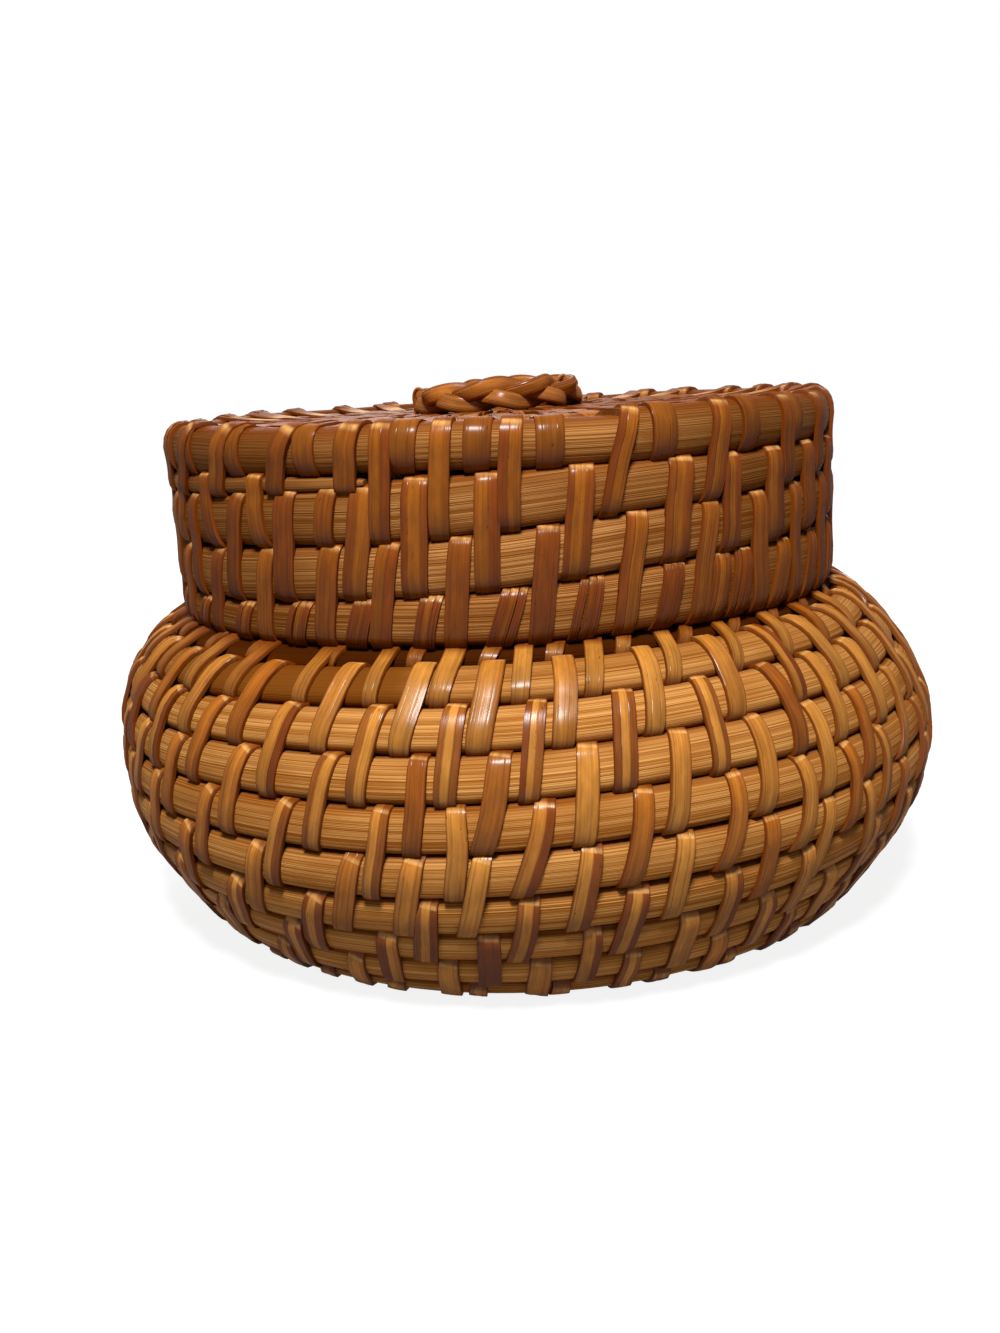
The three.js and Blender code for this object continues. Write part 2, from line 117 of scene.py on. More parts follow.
class LidSizes(bpy.types.PropertyGroup):
    """The lid's top, edge and skirt."""

    clearance: length("Clearance", "Between collar and skirt", 1.4)
    thickness: length("Rod thickness", "Through the skirt", 6.2)
    pitch: length("Row pitch", "From one row of the skirt to the next", 9.5)
    rows: IntProperty(name="Skirt rows", description="Rows below the edge", default=3)
    hoop_height: length("Edge height", "Of the rod round the edge", 8.6)
    hoop_join: angle("Edge join", "Where that rod's ends meet", 285.6)
    top_thickness: length("Top thickness", "Through the lid's top", 5.6)
    top_sunk: length("Top sunk", "How far the top lies below the edge", 0.9)
    top_pitch: length("Top pitch", "From one row of the top to the next", 8.2)


class GripSizes(bpy.types.PropertyGroup):
    """The plaited ring on the lid."""

    radius: length("Ring radius", "At the middle of the plait", 15.4)
    swing: length("Swing", "How far a strand swings up and down", 2.55)
    weave: length("Weave", "How far a strand swings in and out", 1.5)
    strand_width: length("Strand width", "Of one flat strand", 3.5)
    strand_thickness: length("Strand thickness", "Of one flat strand", 1.6)
    strands: IntProperty(name="Strands", description="In the plait", default=3)
    turns: IntProperty(name="Swings", description="Full swings of a strand round the ring", default=3)
    twist: angle("Twist", "How far a strand rolls over where it crosses the others", 23)


class RattanColours(bpy.types.PropertyGroup):
    """Colours of the rods and the cane strips."""

    body_rod: colour("Body rod", "Clean split rattan", 0.62, 0.308, 0.088)
    body_rod_deep: colour("Body rod, deep", "Its darker fibres", 0.27, 0.080, 0.009)
    body_cane: colour("Body cane", "Light golden peel", 0.43, 0.172, 0.027)
    body_cane_amber: colour("Body cane, amber", "Its darker tone", 0.31, 0.088, 0.006)
    lid_rod: colour("Lid rod", "Aged split rattan", 0.49, 0.225, 0.068)
    lid_rod_deep: colour("Lid rod, deep", "Its darker fibres", 0.15, 0.038, 0.003)
    lid_cane: colour("Lid cane", "Amber peel", 0.235, 0.068, 0.005)
    lid_cane_amber: colour("Lid cane, amber", "Its darker tone", 0.14, 0.031, 0.002)
    plait: colour("Plait", "Of the ring on the lid", 0.47, 0.165, 0.028)
    plait_deep: colour("Plait, deep", "Its darker tone", 0.25, 0.068, 0.008)
    peel_edge: colour("Peel edge", "Red-brown skin left along a strip", 0.16, 0.034, 0.003)
    rust: colour("Rust strip", "A strip that is dark all over", 0.14, 0.028, 0.003)
    # Painted shade in the gaps, along strip edges and under the lid's rim; also the colour of the real
    # fibre lines and specks
    gap: colour("Gap", "Where the surface turns in between two rows", 0.13, 0.027, 0.002)
    # Painted highlight on the bend of a strip over its upper row
    bend_highlight_colour: colour("Worn bend", "Where a strip bends over its upper row", 0.80, 0.45, 0.15)


class StageSettings(bpy.types.PropertyGroup):
    """The camera's place and the light."""

    lens: FloatProperty(name="Lens", description="Focal length in millimetres", default=32.25)
    camera_height: length("Camera height", "Above the floor", 105.1)
    camera_distance: length("Camera distance", "In front of the basket's axis", 258.6)
    camera_side: length("Camera side", "Along X", -4.43)
    camera_pitch: angle("Camera pitch", "Below the horizontal", 11.48)
    camera_roll: angle("Camera roll", "Clockwise, seen from behind the camera", 3.23)
    key_power: FloatProperty(name="Key power", description="Of the main lamp", default=6.8, subtype="POWER")
    sky: share("Sky", "Strength of the light from all round", 0.09)


def body_sizes():
    return bpy.context.scene.basket_body


def lid_sizes():
    return bpy.context.scene.basket_lid


def grip_sizes():
    return bpy.context.scene.basket_grip


def colours():
    return bpy.context.scene.basket_colours


# Profiles: lines of (radius, height) that a coil's rows follow

def arc(centre, radius, start, end):
    """Points about 0.3 mm apart on an arc."""
    steps = max(4, round(abs(end - start) * radius / (0.3 * MM)))
    angles = np.linspace(start, end, steps)
    return np.stack([centre[0] + radius * np.cos(angles), centre[1] + radius * np.sin(angles)], -1)


def on_circle(centre, radius, at_angle):
    return centre[0] + radius * math.cos(at_angle), centre[1] + radius * math.sin(at_angle)


def line(start, end):
    """Points about 0.5 mm apart on a straight line."""
    steps = max(4, round(math.dist(start, end) / (0.5 * MM)))
    return np.linspace(start, end, steps)


def unit(vectors):
    return vectors / np.linalg.norm(vectors, axis=-1, keepdims=True)


def smoothstep(values, low, high):
    share_of = np.clip((values - low) / (high - low), 0, 1)
    return share_of * share_of * (3 - 2 * share_of)


def together(*values):
    """Values of like shapes, spread over one shape, as the last axis of one array."""
    return np.stack(np.broadcast_arrays(*values), -1)


def walked_along(points):
    """How far along a line each of its points lies."""
    return np.concatenate([[0], np.cumsum(np.linalg.norm(np.diff(points, axis=0), axis=1))])


def squarer(values, power):
    """Makes a sine or cosine give a rounded rectangle instead of an ellipse, for a power under 1."""
    return np.sign(values) * np.abs(values) ** power


class Profile:
    """A smooth line in the (radius, height) plane, measured along its length."""

    def __init__(self, *stretches):
        self.points = np.concatenate([stretches[0]] + [stretch[1:] for stretch in stretches[1:]])
        self.marks = walked_along(self.points)
        self.length = self.marks[-1]
        self.ways = unit(np.gradient(self.points, self.marks, axis=0))

    def at(self, distance):
        """Points and directions at these distances. Past its ends the line runs straight on."""
        kept = np.clip(distance, 0, self.length)
        way = unit(np.stack([np.interp(kept, self.marks, self.ways[:, k]) for k in (0, 1)], -1))
        point = np.stack([np.interp(kept, self.marks, self.points[:, k]) for k in (0, 1)], -1)
        return point + (distance - kept)[..., None] * way, way


class BodyShape:
    """The heights and radii that follow from the body's sizes."""

    def __init__(self):
        size = body_sizes()
        self.base_middle = size.thickness / 2 - size.foot_flat
        self.belly_height = size.flank_top + size.belly_radius * math.cos(size.flank_slope)
        self.ledge_inner = size.collar_radius + SEAT_GAP
        self.shoulder_centre = self.ledge_inner + size.ledge_width
        inset = size.belly_radius - size.shoulder_radius
        self.belly_centre = self.shoulder_centre - inset * math.cos(size.shoulder_angle)
        self.shoulder_height = self.belly_height + inset * math.sin(size.shoulder_angle)
        self.ledge_height = self.shoulder_height + size.shoulder_radius
        self.ledge_top = self.ledge_height + size.thickness / 2
        self.collar_foot = self.ledge_height - size.thickness / 2

    def profile(self):
        """Base, rounded foot, straight flank, belly, shoulder and ledge."""
        size = body_sizes()
        flank_normal = size.flank_slope - math.pi / 2
        belly_centre = (self.belly_centre, self.belly_height)
        shoulder_centre = (self.shoulder_centre, self.shoulder_height)
        flank_top = on_circle(belly_centre, size.belly_radius, flank_normal)
        corner = flank_top[0] - (flank_top[1] - self.base_middle) / math.tan(size.flank_slope)
        base_end = (corner - size.foot_fillet * math.tan(size.flank_slope / 2), self.base_middle)
        fillet_centre = (base_end[0], self.base_middle + size.foot_fillet)
        flank_foot = on_circle(fillet_centre, size.foot_fillet, flank_normal)
        return Profile(
            line((0, self.base_middle), base_end),
            arc(fillet_centre, size.foot_fillet, FRONT, flank_normal),
            line(flank_foot, flank_top),
            arc(belly_centre, size.belly_radius, flank_normal, size.shoulder_angle),
            arc(shoulder_centre, size.shoulder_radius, size.shoulder_angle, math.pi / 2),
            line((self.shoulder_centre, self.ledge_height), (self.ledge_inner, self.ledge_height)),
        )


class LidShape:
    """The heights and radii that follow from the lid's sizes."""

    def __init__(self):
        size = lid_sizes()
        self.radius = body_sizes().collar_radius + size.clearance + size.thickness / 2
        self.skirt_top = BodyShape().ledge_top + SEAT_GAP - ROW_GAP / 2 + size.rows * size.pitch
        self.height = self.skirt_top + size.hoop_height
        self.top_surface = self.height - size.top_sunk
        self.top_middle = self.top_surface - size.top_thickness / 2
        self.top_bottom = self.top_middle - size.top_thickness / 2
        self.top_radius = self.radius - size.thickness / 2


PRESSED_BELOW = 2 * MM  # the underside of the base is pressed up from this height down
UNPRESSED_LOWEST = -0.6 * MM  # where it would reach if it weren't pressed
LOWEST = 0.8 * MM  # the height that it is pressed up to, which leaves room for the strips under it


def drift(height):
    """How far the wall at a height has moved along X on its way up to the mouth."""
    shape = BodyShape()
    return body_sizes().mouth_drift * smoothstep(height, shape.belly_height, shape.collar_foot)


def place(radius, height, at_angle):
    """Points round the basket's axis, with the underside of the base pressed up."""
    squeeze = (PRESSED_BELOW - LOWEST) / (PRESSED_BELOW - UNPRESSED_LOWEST)
    pressed = np.where(height < PRESSED_BELOW, LOWEST + (height - UNPRESSED_LOWEST) * squeeze, height)
    return together(radius * np.cos(at_angle) + drift(height), radius * np.sin(at_angle), pressed)


def degrees_right(at_angle):
    """Degrees to the right of the front, from -180 to 180."""
    return (np.degrees(at_angle - FRONT) + 180) % 360 - 180


# Coils

WANDER = 0.28 * MM  # how far the rows stray from their line
SKIRT_TAPER = (0.042, 0.06)  # the turns over which the skirt's first row grows from its thin end
SKIRT_LEVELS = (2.2, 2.8)  # the turns over which its last row becomes level
THIN_END = 0.82  # how thick the thinnest end of a rod is, as a share of the rod's thickness
THIN_REST = 0.18  # and the rest of that thickness
LAST_STRETCH = (0.80, 0.90)  # the turns over which a low end goes down


def wander(at_angle, distance):
    """How far a row strays: long waves with shorter ones on them, which differ from row to row."""
    long_waves = np.sin(3 * at_angle + 40 * distance + 0.9)
    short_waves = np.sin(7 * at_angle - 95 * distance + 2.1)
    return WANDER * (long_waves + 0.7 * short_waves)


def steady(turn):
    return turn


def steep_at_front(turn):
    """The skirt's rows fall steeply across the front, run nearly level behind, and end level."""
    around = FULL_TURN * turn
    fall = turn + (1.1 * np.sin(around) + 0.35 * np.sin(2 * around) / 2) / FULL_TURN
    levelled = smoothstep(turn, *SKIRT_LEVELS)
    begun = np.where(np.asarray(turn) < 0.5, smoothstep(turn, *SKIRT_TAPER), 1)
    return (fall + (lid_sizes().rows - fall) * levelled) * begun


@dataclasses.dataclass
class Coil:
    """Rows that wind along a profile, a pitch further in each turn, between two level edges."""

    profile: Profile
    first: float  # how far along the profile the first row begins
    last: float  # how far along it the last row ends
    pitch: float
    thickness: float
    start: float  # the angle of turn 0
    way: int = 1  # 1 winds anticlockwise seen from above, -1 clockwise
    fall: object = steady  # gives how many pitches the rows have moved on by a turn
    roundness: float = 3.0  # of a rod's section: 2 is an ellipse, more is nearer a rectangle
    shaded_sides: float = 0.0  # painted shade: how much darker it is beside the front
    shaded_from: int = 99  # the first of its upper rows that get painted shade from the lid
    low_end: float = 0.0  # how much lower the top of its last stretch lies

    def angle(self, turn):
        return self.start + self.way * FULL_TURN * turn

    def section(self, turn):
        """The middle, half height and half thickness of the rod at a turn."""
        turn = np.asarray(turn, float)
        before = np.where(turn < 1, -1.0, self.fall(np.maximum(turn - 1, 0)))
        low = np.maximum(self.first, self.first + self.pitch * before)
        high = np.minimum(self.last, self.first + self.pitch * self.fall(turn))
        high = high - self.low_end * smoothstep(turn, *LAST_STRETCH)
        half_height = np.maximum(high - low - ROW_GAP, 0.05 * MM) / 2
        fullness = np.minimum(1, half_height * 2 / (self.pitch - ROW_GAP))
        half_thickness = self.thickness / 2 * (THIN_END + THIN_REST * np.sqrt(fullness))
        # A thin end is a little taller than the fall leaves it
        thinness = (1 - smoothstep(fullness, 0.1, 0.6)) * (fullness > 0.05)
        half_height = half_height + 0.4 * MM * thinness
        middle = (low + high) / 2
        return middle + wander(self.angle(turn), middle), half_height, half_thickness

    def is_tall(self, turn, at_least=0.3):
        """Whether the rod has at least this share of a full row's height."""
        return bool(self.section(turn)[1] * 2 >= at_least * (self.pitch - ROW_GAP))

    def outline(self, turn, count, grow=0.0):
        """Points of (radius, height) round the rod's section, and how far out each one lies."""
        middle, half_height, half_thickness = (value[..., None] for value in self.section(turn))
        around = np.linspace(math.pi / 2, math.pi / 2 - FULL_TURN, count)
        out = (half_thickness + grow) * squarer(np.cos(around), 2 / self.roundness)
        up = (half_height + CLOSER + grow) * squarer(np.sin(around), 2 / self.roundness)
        point, way = self.profile.at(middle + up)
        normal = self.way * together(way[..., 1], -way[..., 0])
        return point + out[..., None] * normal, out / (half_thickness + grow)

    def frame_at(self, turn):
        """The rod's middle, the direction across the rows and the direction out of the wall."""
        middle = self.section(turn)[0]
        point, way = self.profile.at(middle)
        return point, way, self.way * np.array([way[1], -way[0]])

    def radius_at(self, turn):
        return float(self.frame_at(turn)[0][0])


def body_coil():
    size = body_sizes()
    profile = BodyShape().profile()
    return Coil(
        profile,
        first=FLAT_START,
        last=profile.length + ROW_GAP / 2,
        pitch=size.pitch,
        thickness=size.thickness,
        start=FRONT,
        # Painted shade beside the front and on the upper rows under the lid
        shaded_sides=0.2,
        shaded_from=17,
    )


def collar_coil():
    size = body_sizes()
    middle = size.collar_radius - size.collar_thickness / 2
    foot = BodyShape().collar_foot
    height = size.collar_rows * size.collar_pitch
    return Coil(
        Profile(line((middle, foot), (middle, foot + height))),
        first=0,
        last=height,
        pitch=size.collar_pitch,
        thickness=size.collar_thickness,
        start=0,
    )


def lid_top_coil():
    size, shape = lid_sizes(), LidShape()
    return Coil(
        Profile(line((0, shape.top_middle), (shape.top_radius, shape.top_middle))),
        first=FLAT_START,
        last=shape.top_radius,
        pitch=size.top_pitch,
        thickness=size.top_thickness,
        start=0,
        way=-1,
    )


def skirt_coil():
    size, shape = lid_sizes(), LidShape()
    height = size.rows * size.pitch
    return Coil(
        Profile(line((shape.radius, shape.skirt_top), (shape.radius, shape.skirt_top - height))),
        first=0,
        last=height,
        pitch=size.pitch,
        thickness=size.thickness,
        start=FRONT,
        way=-1,
        fall=steep_at_front,
        roundness=3.2,
        # Painted shade beside the front
        shaded_sides=0.65,
    )


def hoop_coil():
    """The rod round the lid's edge is one turn that stays level, but for its lower end."""
    size, shape = lid_sizes(), LidShape()
    height = size.hoop_height + ROW_GAP / 2
    return Coil(
        Profile(line((shape.radius, shape.skirt_top), (shape.radius, shape.skirt_top + height))),
        first=0,
        last=height,
        pitch=height,
        thickness=size.thickness,
        start=size.hoop_join,
        fall=np.ceil,
        roundness=2.2,
        # Painted shade beside the front
        shaded_sides=0.7,
        low_end=1.1 * MM,
    )


# Meshes made of grids of points

def added(name, data):
    made = bpy.data.objects.new(name, data)
    bpy.context.scene.collection.objects.link(made)
    return made


class Grids:
    """Collects grids of points with values for the materials, and makes one mesh of them."""

    def __init__(self):
        self.points = []
        self.values = {}
        self.quads = []
        self.caps = []
        self.count = 0

    def add(self, points, outward, **values):
        """Points in rows and columns. outward is roughly the way that the first column's faces look,
        in its first row alone or in every row."""
        rows, columns = points.shape[:2]
        index = np.arange(rows * columns).reshape(rows, columns) + self.count
        corners = (index[:-1, :-1], index[:-1, 1:], index[1:, 1:], index[1:, :-1])
        quads = together(*corners).reshape(-1, 4)
        outward = np.atleast_2d(outward)[:rows - 1]
        tested = len(outward)
        across = points[:tested, 1] - points[:tested, 0]
        along = points[1:tested + 1, 0] - points[:tested, 0]
        if np.sum(np.cross(across, along) * outward) < 0:
            quads = quads[:, ::-1]
        self.quads.append(quads)
        self.points.append(points.reshape(-1, 3))
        for name, value in values.items():
            spread = np.broadcast_to(value, (rows, columns, 3)).reshape(-1, 3)
            self.values.setdefault(name, []).append(spread)
        self.count += rows * columns
        return index

    def cap(self, ring):
        self.caps.append(np.asarray(ring))

    def build(self, name, material, sharp_angle):
        """One mesh object at the origin, smooth but for edges sharper than the angle."""
        quads = np.concatenate(self.quads)
        loops = np.concatenate([quads.ravel()] + self.caps)
        sizes = np.concatenate([np.full(len(quads), 4)] + [[len(cap)] for cap in self.caps]).astype(int)
        starts = np.concatenate([[0], np.cumsum(sizes)[:-1]])
        mesh = bpy.data.meshes.new(name)
        mesh.vertices.add(self.count)
        mesh.vertices.foreach_set("co", np.concatenate(self.points).astype(np.float32).ravel())
        mesh.loops.add(len(loops))
        mesh.loops.foreach_set("vertex_index", loops.astype(np.int32))
        mesh.polygons.add(len(sizes))
        mesh.polygons.foreach_set("loop_start", starts.astype(np.int32))
        mesh.update(calc_edges=True)
        for value_name, parts in self.values.items():
            layer = mesh.attributes.new(value_name, "FLOAT_VECTOR", "POINT")
            layer.data.foreach_set("vector", np.concatenate(parts).astype(np.float32).ravel())
        mesh.polygons.foreach_set("use_smooth", np.ones(len(sizes), bool))
        mesh.set_sharp_from_angle(angle=math.radians(sharp_angle))
        mesh.materials.append(material)
        return added(name, mesh)


Finish = collections.namedtuple("Finish", "body slot material")


def finish_piece(grids, name, finish, sharp_angle, *cad_names):
    """Makes one object of the grids. It rides on its body, and replaces the CAD nodes that are named."""
    body, slot, material = finish
    piece = grids.build(name, material, sharp_angle)
    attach(piece, body)
    if cad_names:
        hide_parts(*cad_names)


# Rods

ROD_STEP = 2.4 * MM  # along a rod, from one ring of points to the next
ROD_SIDES = 24
ROD_SHARP = 50  # degrees from which an edge is sharp
CAD_TALL = 0.25  # the share of a full row's height from which the CAD part has a rod
FIBRE_SEED = 13.7  # how far apart the fibres of two rods are drawn
RIM_STRIPS = 0.7 * MM  # how far the strips stand out from the lid's rim


def rod_turns(coil, start, end):
    """Turns from start to end, about a step of the rod's length apart."""
    turns = [start]
    while turns[-1] < end:
        radius = max(4 * MM, coil.radius_at(turns[-1]))
        turns.append(turns[-1] + ROD_STEP / (FULL_TURN * radius))
    if end - turns[-2] < 0.4 * (turns[-1] - turns[-2]):
        turns.pop()
    turns[-1] = end
    return np.array(turns)


def painted_shade(coil, turns):
    """Painted shade on the rods: more beside the front, most of all on the left under the lid, and on the
    ledge.
    """
    row = np.round(turns)
    right = degrees_right(coil.angle(turns))
    # Painted shade: darker away from the front, on the upper left rows and on the ledge under the lid
    beside = coil.shaded_sides * smoothstep(np.abs(right), 10.8, 41.4)
    patch = smoothstep(right, -68.4, -46.8) * (1 - smoothstep(right, -16.2, -7.2))
    upper = np.where(row >= coil.shaded_from, 0.2 + 0.8 * patch, 0)
    ledge = np.where(row >= coil.shaded_from + 2, 0.6, 0)
    return np.maximum(np.maximum(beside, upper), ledge)


def shade_under_rim(radius, height, at_angle):
    """How much painted shade a point gets in the corner under the lid's rim, from 0 to 1. It is wider on
    the left.
    """
    ledge_top = BodyShape().ledge_top
    rim = LidShape().radius + lid_sizes().thickness / 2 + RIM_STRIPS
    reach = 1.2 * MM + 4 * MM * smoothstep(-np.cos(at_angle), -0.1, 0.8)
    inward = 1 - smoothstep(radius, rim, rim + reach)
    above = smoothstep(height, ledge_top - 6 * MM, ledge_top - 3 * MM)
    below = 1 - smoothstep(height, ledge_top + 0.2 * MM, ledge_top + 1.6 * MM)
    return inward * above * below


def add_rod(grids, coil, start, end, seed, scarf_start, scarf_end):
    """One length of rod. Where it meets another its end is slanted and a little short."""
    turns = rod_turns(coil, start, end)
    outline, out = coil.outline(turns, ROD_SIDES + 1)
    radius = np.maximum(outline[..., 0], 2 * MM)
    middle_radius = radius.mean(1)
    from_start = (turns - start) * FULL_TURN * middle_radius
    to_end = (end - turns) * FULL_TURN * middle_radius
    slant = np.zeros_like(turns)
    shift = np.zeros_like(turns)
    for has_scarf, distance, inward in ((scarf_start, from_start, 1), (scarf_end, to_end, -1)):
        near = has_scarf * np.clip(1 - distance / (3 * SCARF_REACH), 0, 1)
        slant += SCARF_REACH * near
        shift += inward * SEAT_GAP / 2 * near
    turned = coil.angle(turns)[:, None] + coil.way * (slant[:, None] * out + shift[:, None]) / radius
    points = place(outline[..., 0], outline[..., 1], turned)
    edge = np.linalg.norm(np.diff(outline, axis=1), axis=-1)
    around = np.concatenate([np.zeros((len(turns), 1)), np.cumsum(edge, axis=1)], axis=1)
    # Painted shade: darker where the rod's surface turns in towards the gaps, and in the corner under the
    # lid's rim
    corner = shade_under_rim(outline[..., 0], outline[..., 1], coil.angle(turns)[:, None])
    sunk = np.maximum(1 - smoothstep(np.abs(out), 0.5, 0.97), 1.8 * corner)
    # A little random tone, and mostly painted shade
    tone = 0.15 * (0.5 + 0.5 * math.sin(seed * 2.4)) + 0.85 * painted_shade(coil, turns)
    index = grids.add(
        points,
        points[0, 1] - points[0].mean(0),
        fibre=together(from_start[:, None] / MM, around / MM, seed * FIBRE_SEED),
        look=together(tone[:, None], sunk, 0.0),
    )
    grids.cap(index[0, :-1])
    grids.cap(index[-1, :-1][::-1])


def rod_spans(start, end, count):
    """The turns at which the CAD part's rods meet."""
    steps = round((end - start) * STEPS_PER_TURN / count)
    joins = [start + i * steps / STEPS_PER_TURN for i in range(count)] + [end]
    return list(zip(joins[:-1], joins[1:]))


def tall_span(coil, at_least=CAD_TALL):
    """First and last whole step at which the rod is tall enough, as the CAD part has it."""
    most = round(((coil.last - coil.first) / coil.pitch + 1.2) * STEPS_PER_TURN)
    tall = [i / STEPS_PER_TURN for i in range(1, most) if coil.is_tall(i / STEPS_PER_TURN, at_least)]
    return tall[0], tall[-1]


def dress_rods(coil, node, span, count, finish, seed, open_ends=(True, True), further=(0.0, 0.0)):
    """Replaces the CAD rods of one coil by finer ones. The coil's thin ends may reach a little further."""
    for i, (start, end) in enumerate(rod_spans(*span, count)):
        is_first = i == 0
        is_last = i == count - 1
        grids = Grids()
        add_rod(
            grids,
            coil,
            start - is_first * further[0],
            end + is_last * further[1],
            seed + i,
            scarf_start=not (is_first and open_ends[0]),
            scarf_end=not (is_last and open_ends[1]),
        )
        cad_name = f"{node}_{i + 1}" if count > 1 else node
        finish_piece(grids, f"{cad_name}_fine", finish, ROD_SHARP, cad_name)


def dress_button(name, finish, top, bottom):
    """The knot that a flat coil starts from: a low dome with coiled grooves, above and below."""
    grids = Grids()
    quarter = np.linspace(0, math.pi / 2, 15)[:, None]
    around = np.linspace(0, FULL_TURN, 33)
    radius = (BUTTON_RADIUS - SEAT_GAP) * np.sin(quarter) ** 0.8
    dome = (top - bottom) / 2 * (1 - np.cos(quarter) ** 0.5)
    groove = 0.12 * MM * np.sin(radius / MM * 4.2 + around)
    for surface, way in ((top, 1), (bottom, -1)):
        points = place(radius, surface - way * dome + way * groove, around)
        fibre = together(around * radius / MM, radius / MM, 5.0)
        facing = np.array([0, 0, way])
        index = grids.add(points[1:], facing, fibre=fibre[1:], look=together(0.4, 0.0, 0.0))
        ring = index[0, :-1]
        grids.cap(ring[::-1] if way > 0 else ring)
    finish_piece(grids, f"{name}_fine", finish, ROD_SHARP, name)


# Stitches: strips of cane pulled tight round the rows that they bind

CANE_THICKNESS = 0.5 * MM
STATION_GAP = 1.3 * MM  # along a strip, from one row of points to the next
OUTLINE_POINTS = 21  # round each rod under a strip
CLEAR_OF_ROD = 0.06 * MM
STRIP_SHARP = 42  # degrees from which an edge is sharp
STRIP_SIDE = np.array([-0.25, 0.38, 0.44]) * MM  # heights up a strip's rounded edge
UNEVEN = 0.07  # of the usual gap, how unevenly the unseen strips are set


def band_round(points):
    """The outline of a band pulled tight round these points, anticlockwise."""
    ordered = sorted(map(tuple, points))

    def half(run):
        kept = []
        for point in run:
            while len(kept) >= 2:
                (ax, ay), (bx, by) = kept[-2], kept[-1]
                if (bx - ax) * (point[1] - ay) - (by - ay) * (point[0] - ax) > 0:
                    break
                kept.pop()
            kept.append(point)
        return kept[:-1]

    return np.array(half(ordered) + half(ordered[::-1]))


def tight_ring(outlines, up, out, dip):
    """The band's stations from its highest point over the outside and back, and where it is lowest."""
    ring = band_round(np.concatenate(outlines))
    ring = np.roll(ring, -int(np.argmax(ring @ up)), axis=0)
    if np.dot(ring[1] - ring[0], out) < np.dot(ring[-1] - ring[0], out):
        ring = np.concatenate([ring[:1], ring[:0:-1]])
    centre = ring.mean(0)
    stations = []
    for here, there in zip(ring, np.roll(ring, -1, axis=0)):
        parts = max(1, round(math.dist(here, there) / STATION_GAP))
        inward = unit(np.array([here[1] - there[1], there[0] - here[0]]))
        if np.dot(inward, centre - here) < 0:
            inward = -inward
        for k in range(parts):
            bite = dip * math.sin(math.pi * k / parts) if parts > 2 else 0
            stations.append(here + (there - here) * k / parts + bite * inward)
    stations = np.array(stations + [stations[0]])
    return stations, int(np.argmin(stations @ up))


class Strip:
    """How one strip of cane looks, a little unlike its kind: its size, slant and the colours across it."""

    def __init__(self, rng, width, lean, style, bow=0.0, lift=0.0):
        self.width = width * (1 + 0.06 * rng.standard_normal()) * MM
        self.lean = lean
        self.tone = style.tone + 0.12 * rng.standard_normal()
        self.left = style.left * rng.uniform(0.75, 1.15)
        self.right = style.right * rng.uniform(0.75, 1.15)
        self.rust = style.rust
        self.bow = bow + 0.22 * MM * rng.standard_normal()
        self.lift = lift
        self.left_edge = style.left_edge + rng.uniform(-0.12, 0.12)
        self.right_edge = style.right_edge + rng.uniform(-0.12, 0.12)
        self.ridge = rng.uniform(-0.04, 0.06) * MM
        self.roll = math.radians(3.5) * rng.standard_normal()
        self.seed = rng.uniform(0, 200)
        self.wave = rng.uniform(0, FULL_TURN)


def ways_along(points):
    """Steps from the point before each one to the point after, on a line whose last point is its first."""
    ways = np.empty_like(points)
    ways[1:-1] = points[2:] - points[:-2]
    ways[0] = ways[-1] = points[1] - points[-2]
    return ways


def rolled(across, through, angles):
    """Two directions turned in the plane that they span, by one angle at each station."""
    cosine = np.cos(angles)[:, None]
    sine = np.sin(angles)[:, None]
    return across * cosine + through * sine, through * cosine - across * sine


def swept(spine, right, lift, across, height):
    """A row of points at each station of a spine, at distances to its right and above it."""
    return spine[:, None] + right[:, None] * across[..., None] + lift[:, None] * height[..., None]


def way_up(rows):
    """The direction from the lower of two rows to the upper one, or up across a single row."""
    if len(rows) > 1:
        upper, lower = (coil.frame_at(turn)[0] for coil, turn in (rows[0], rows[-1]))
        return unit(upper - lower)
    coil, turn = rows[0]
    up = coil.frame_at(turn)[1]
    return up if up[1] > 0 else -up


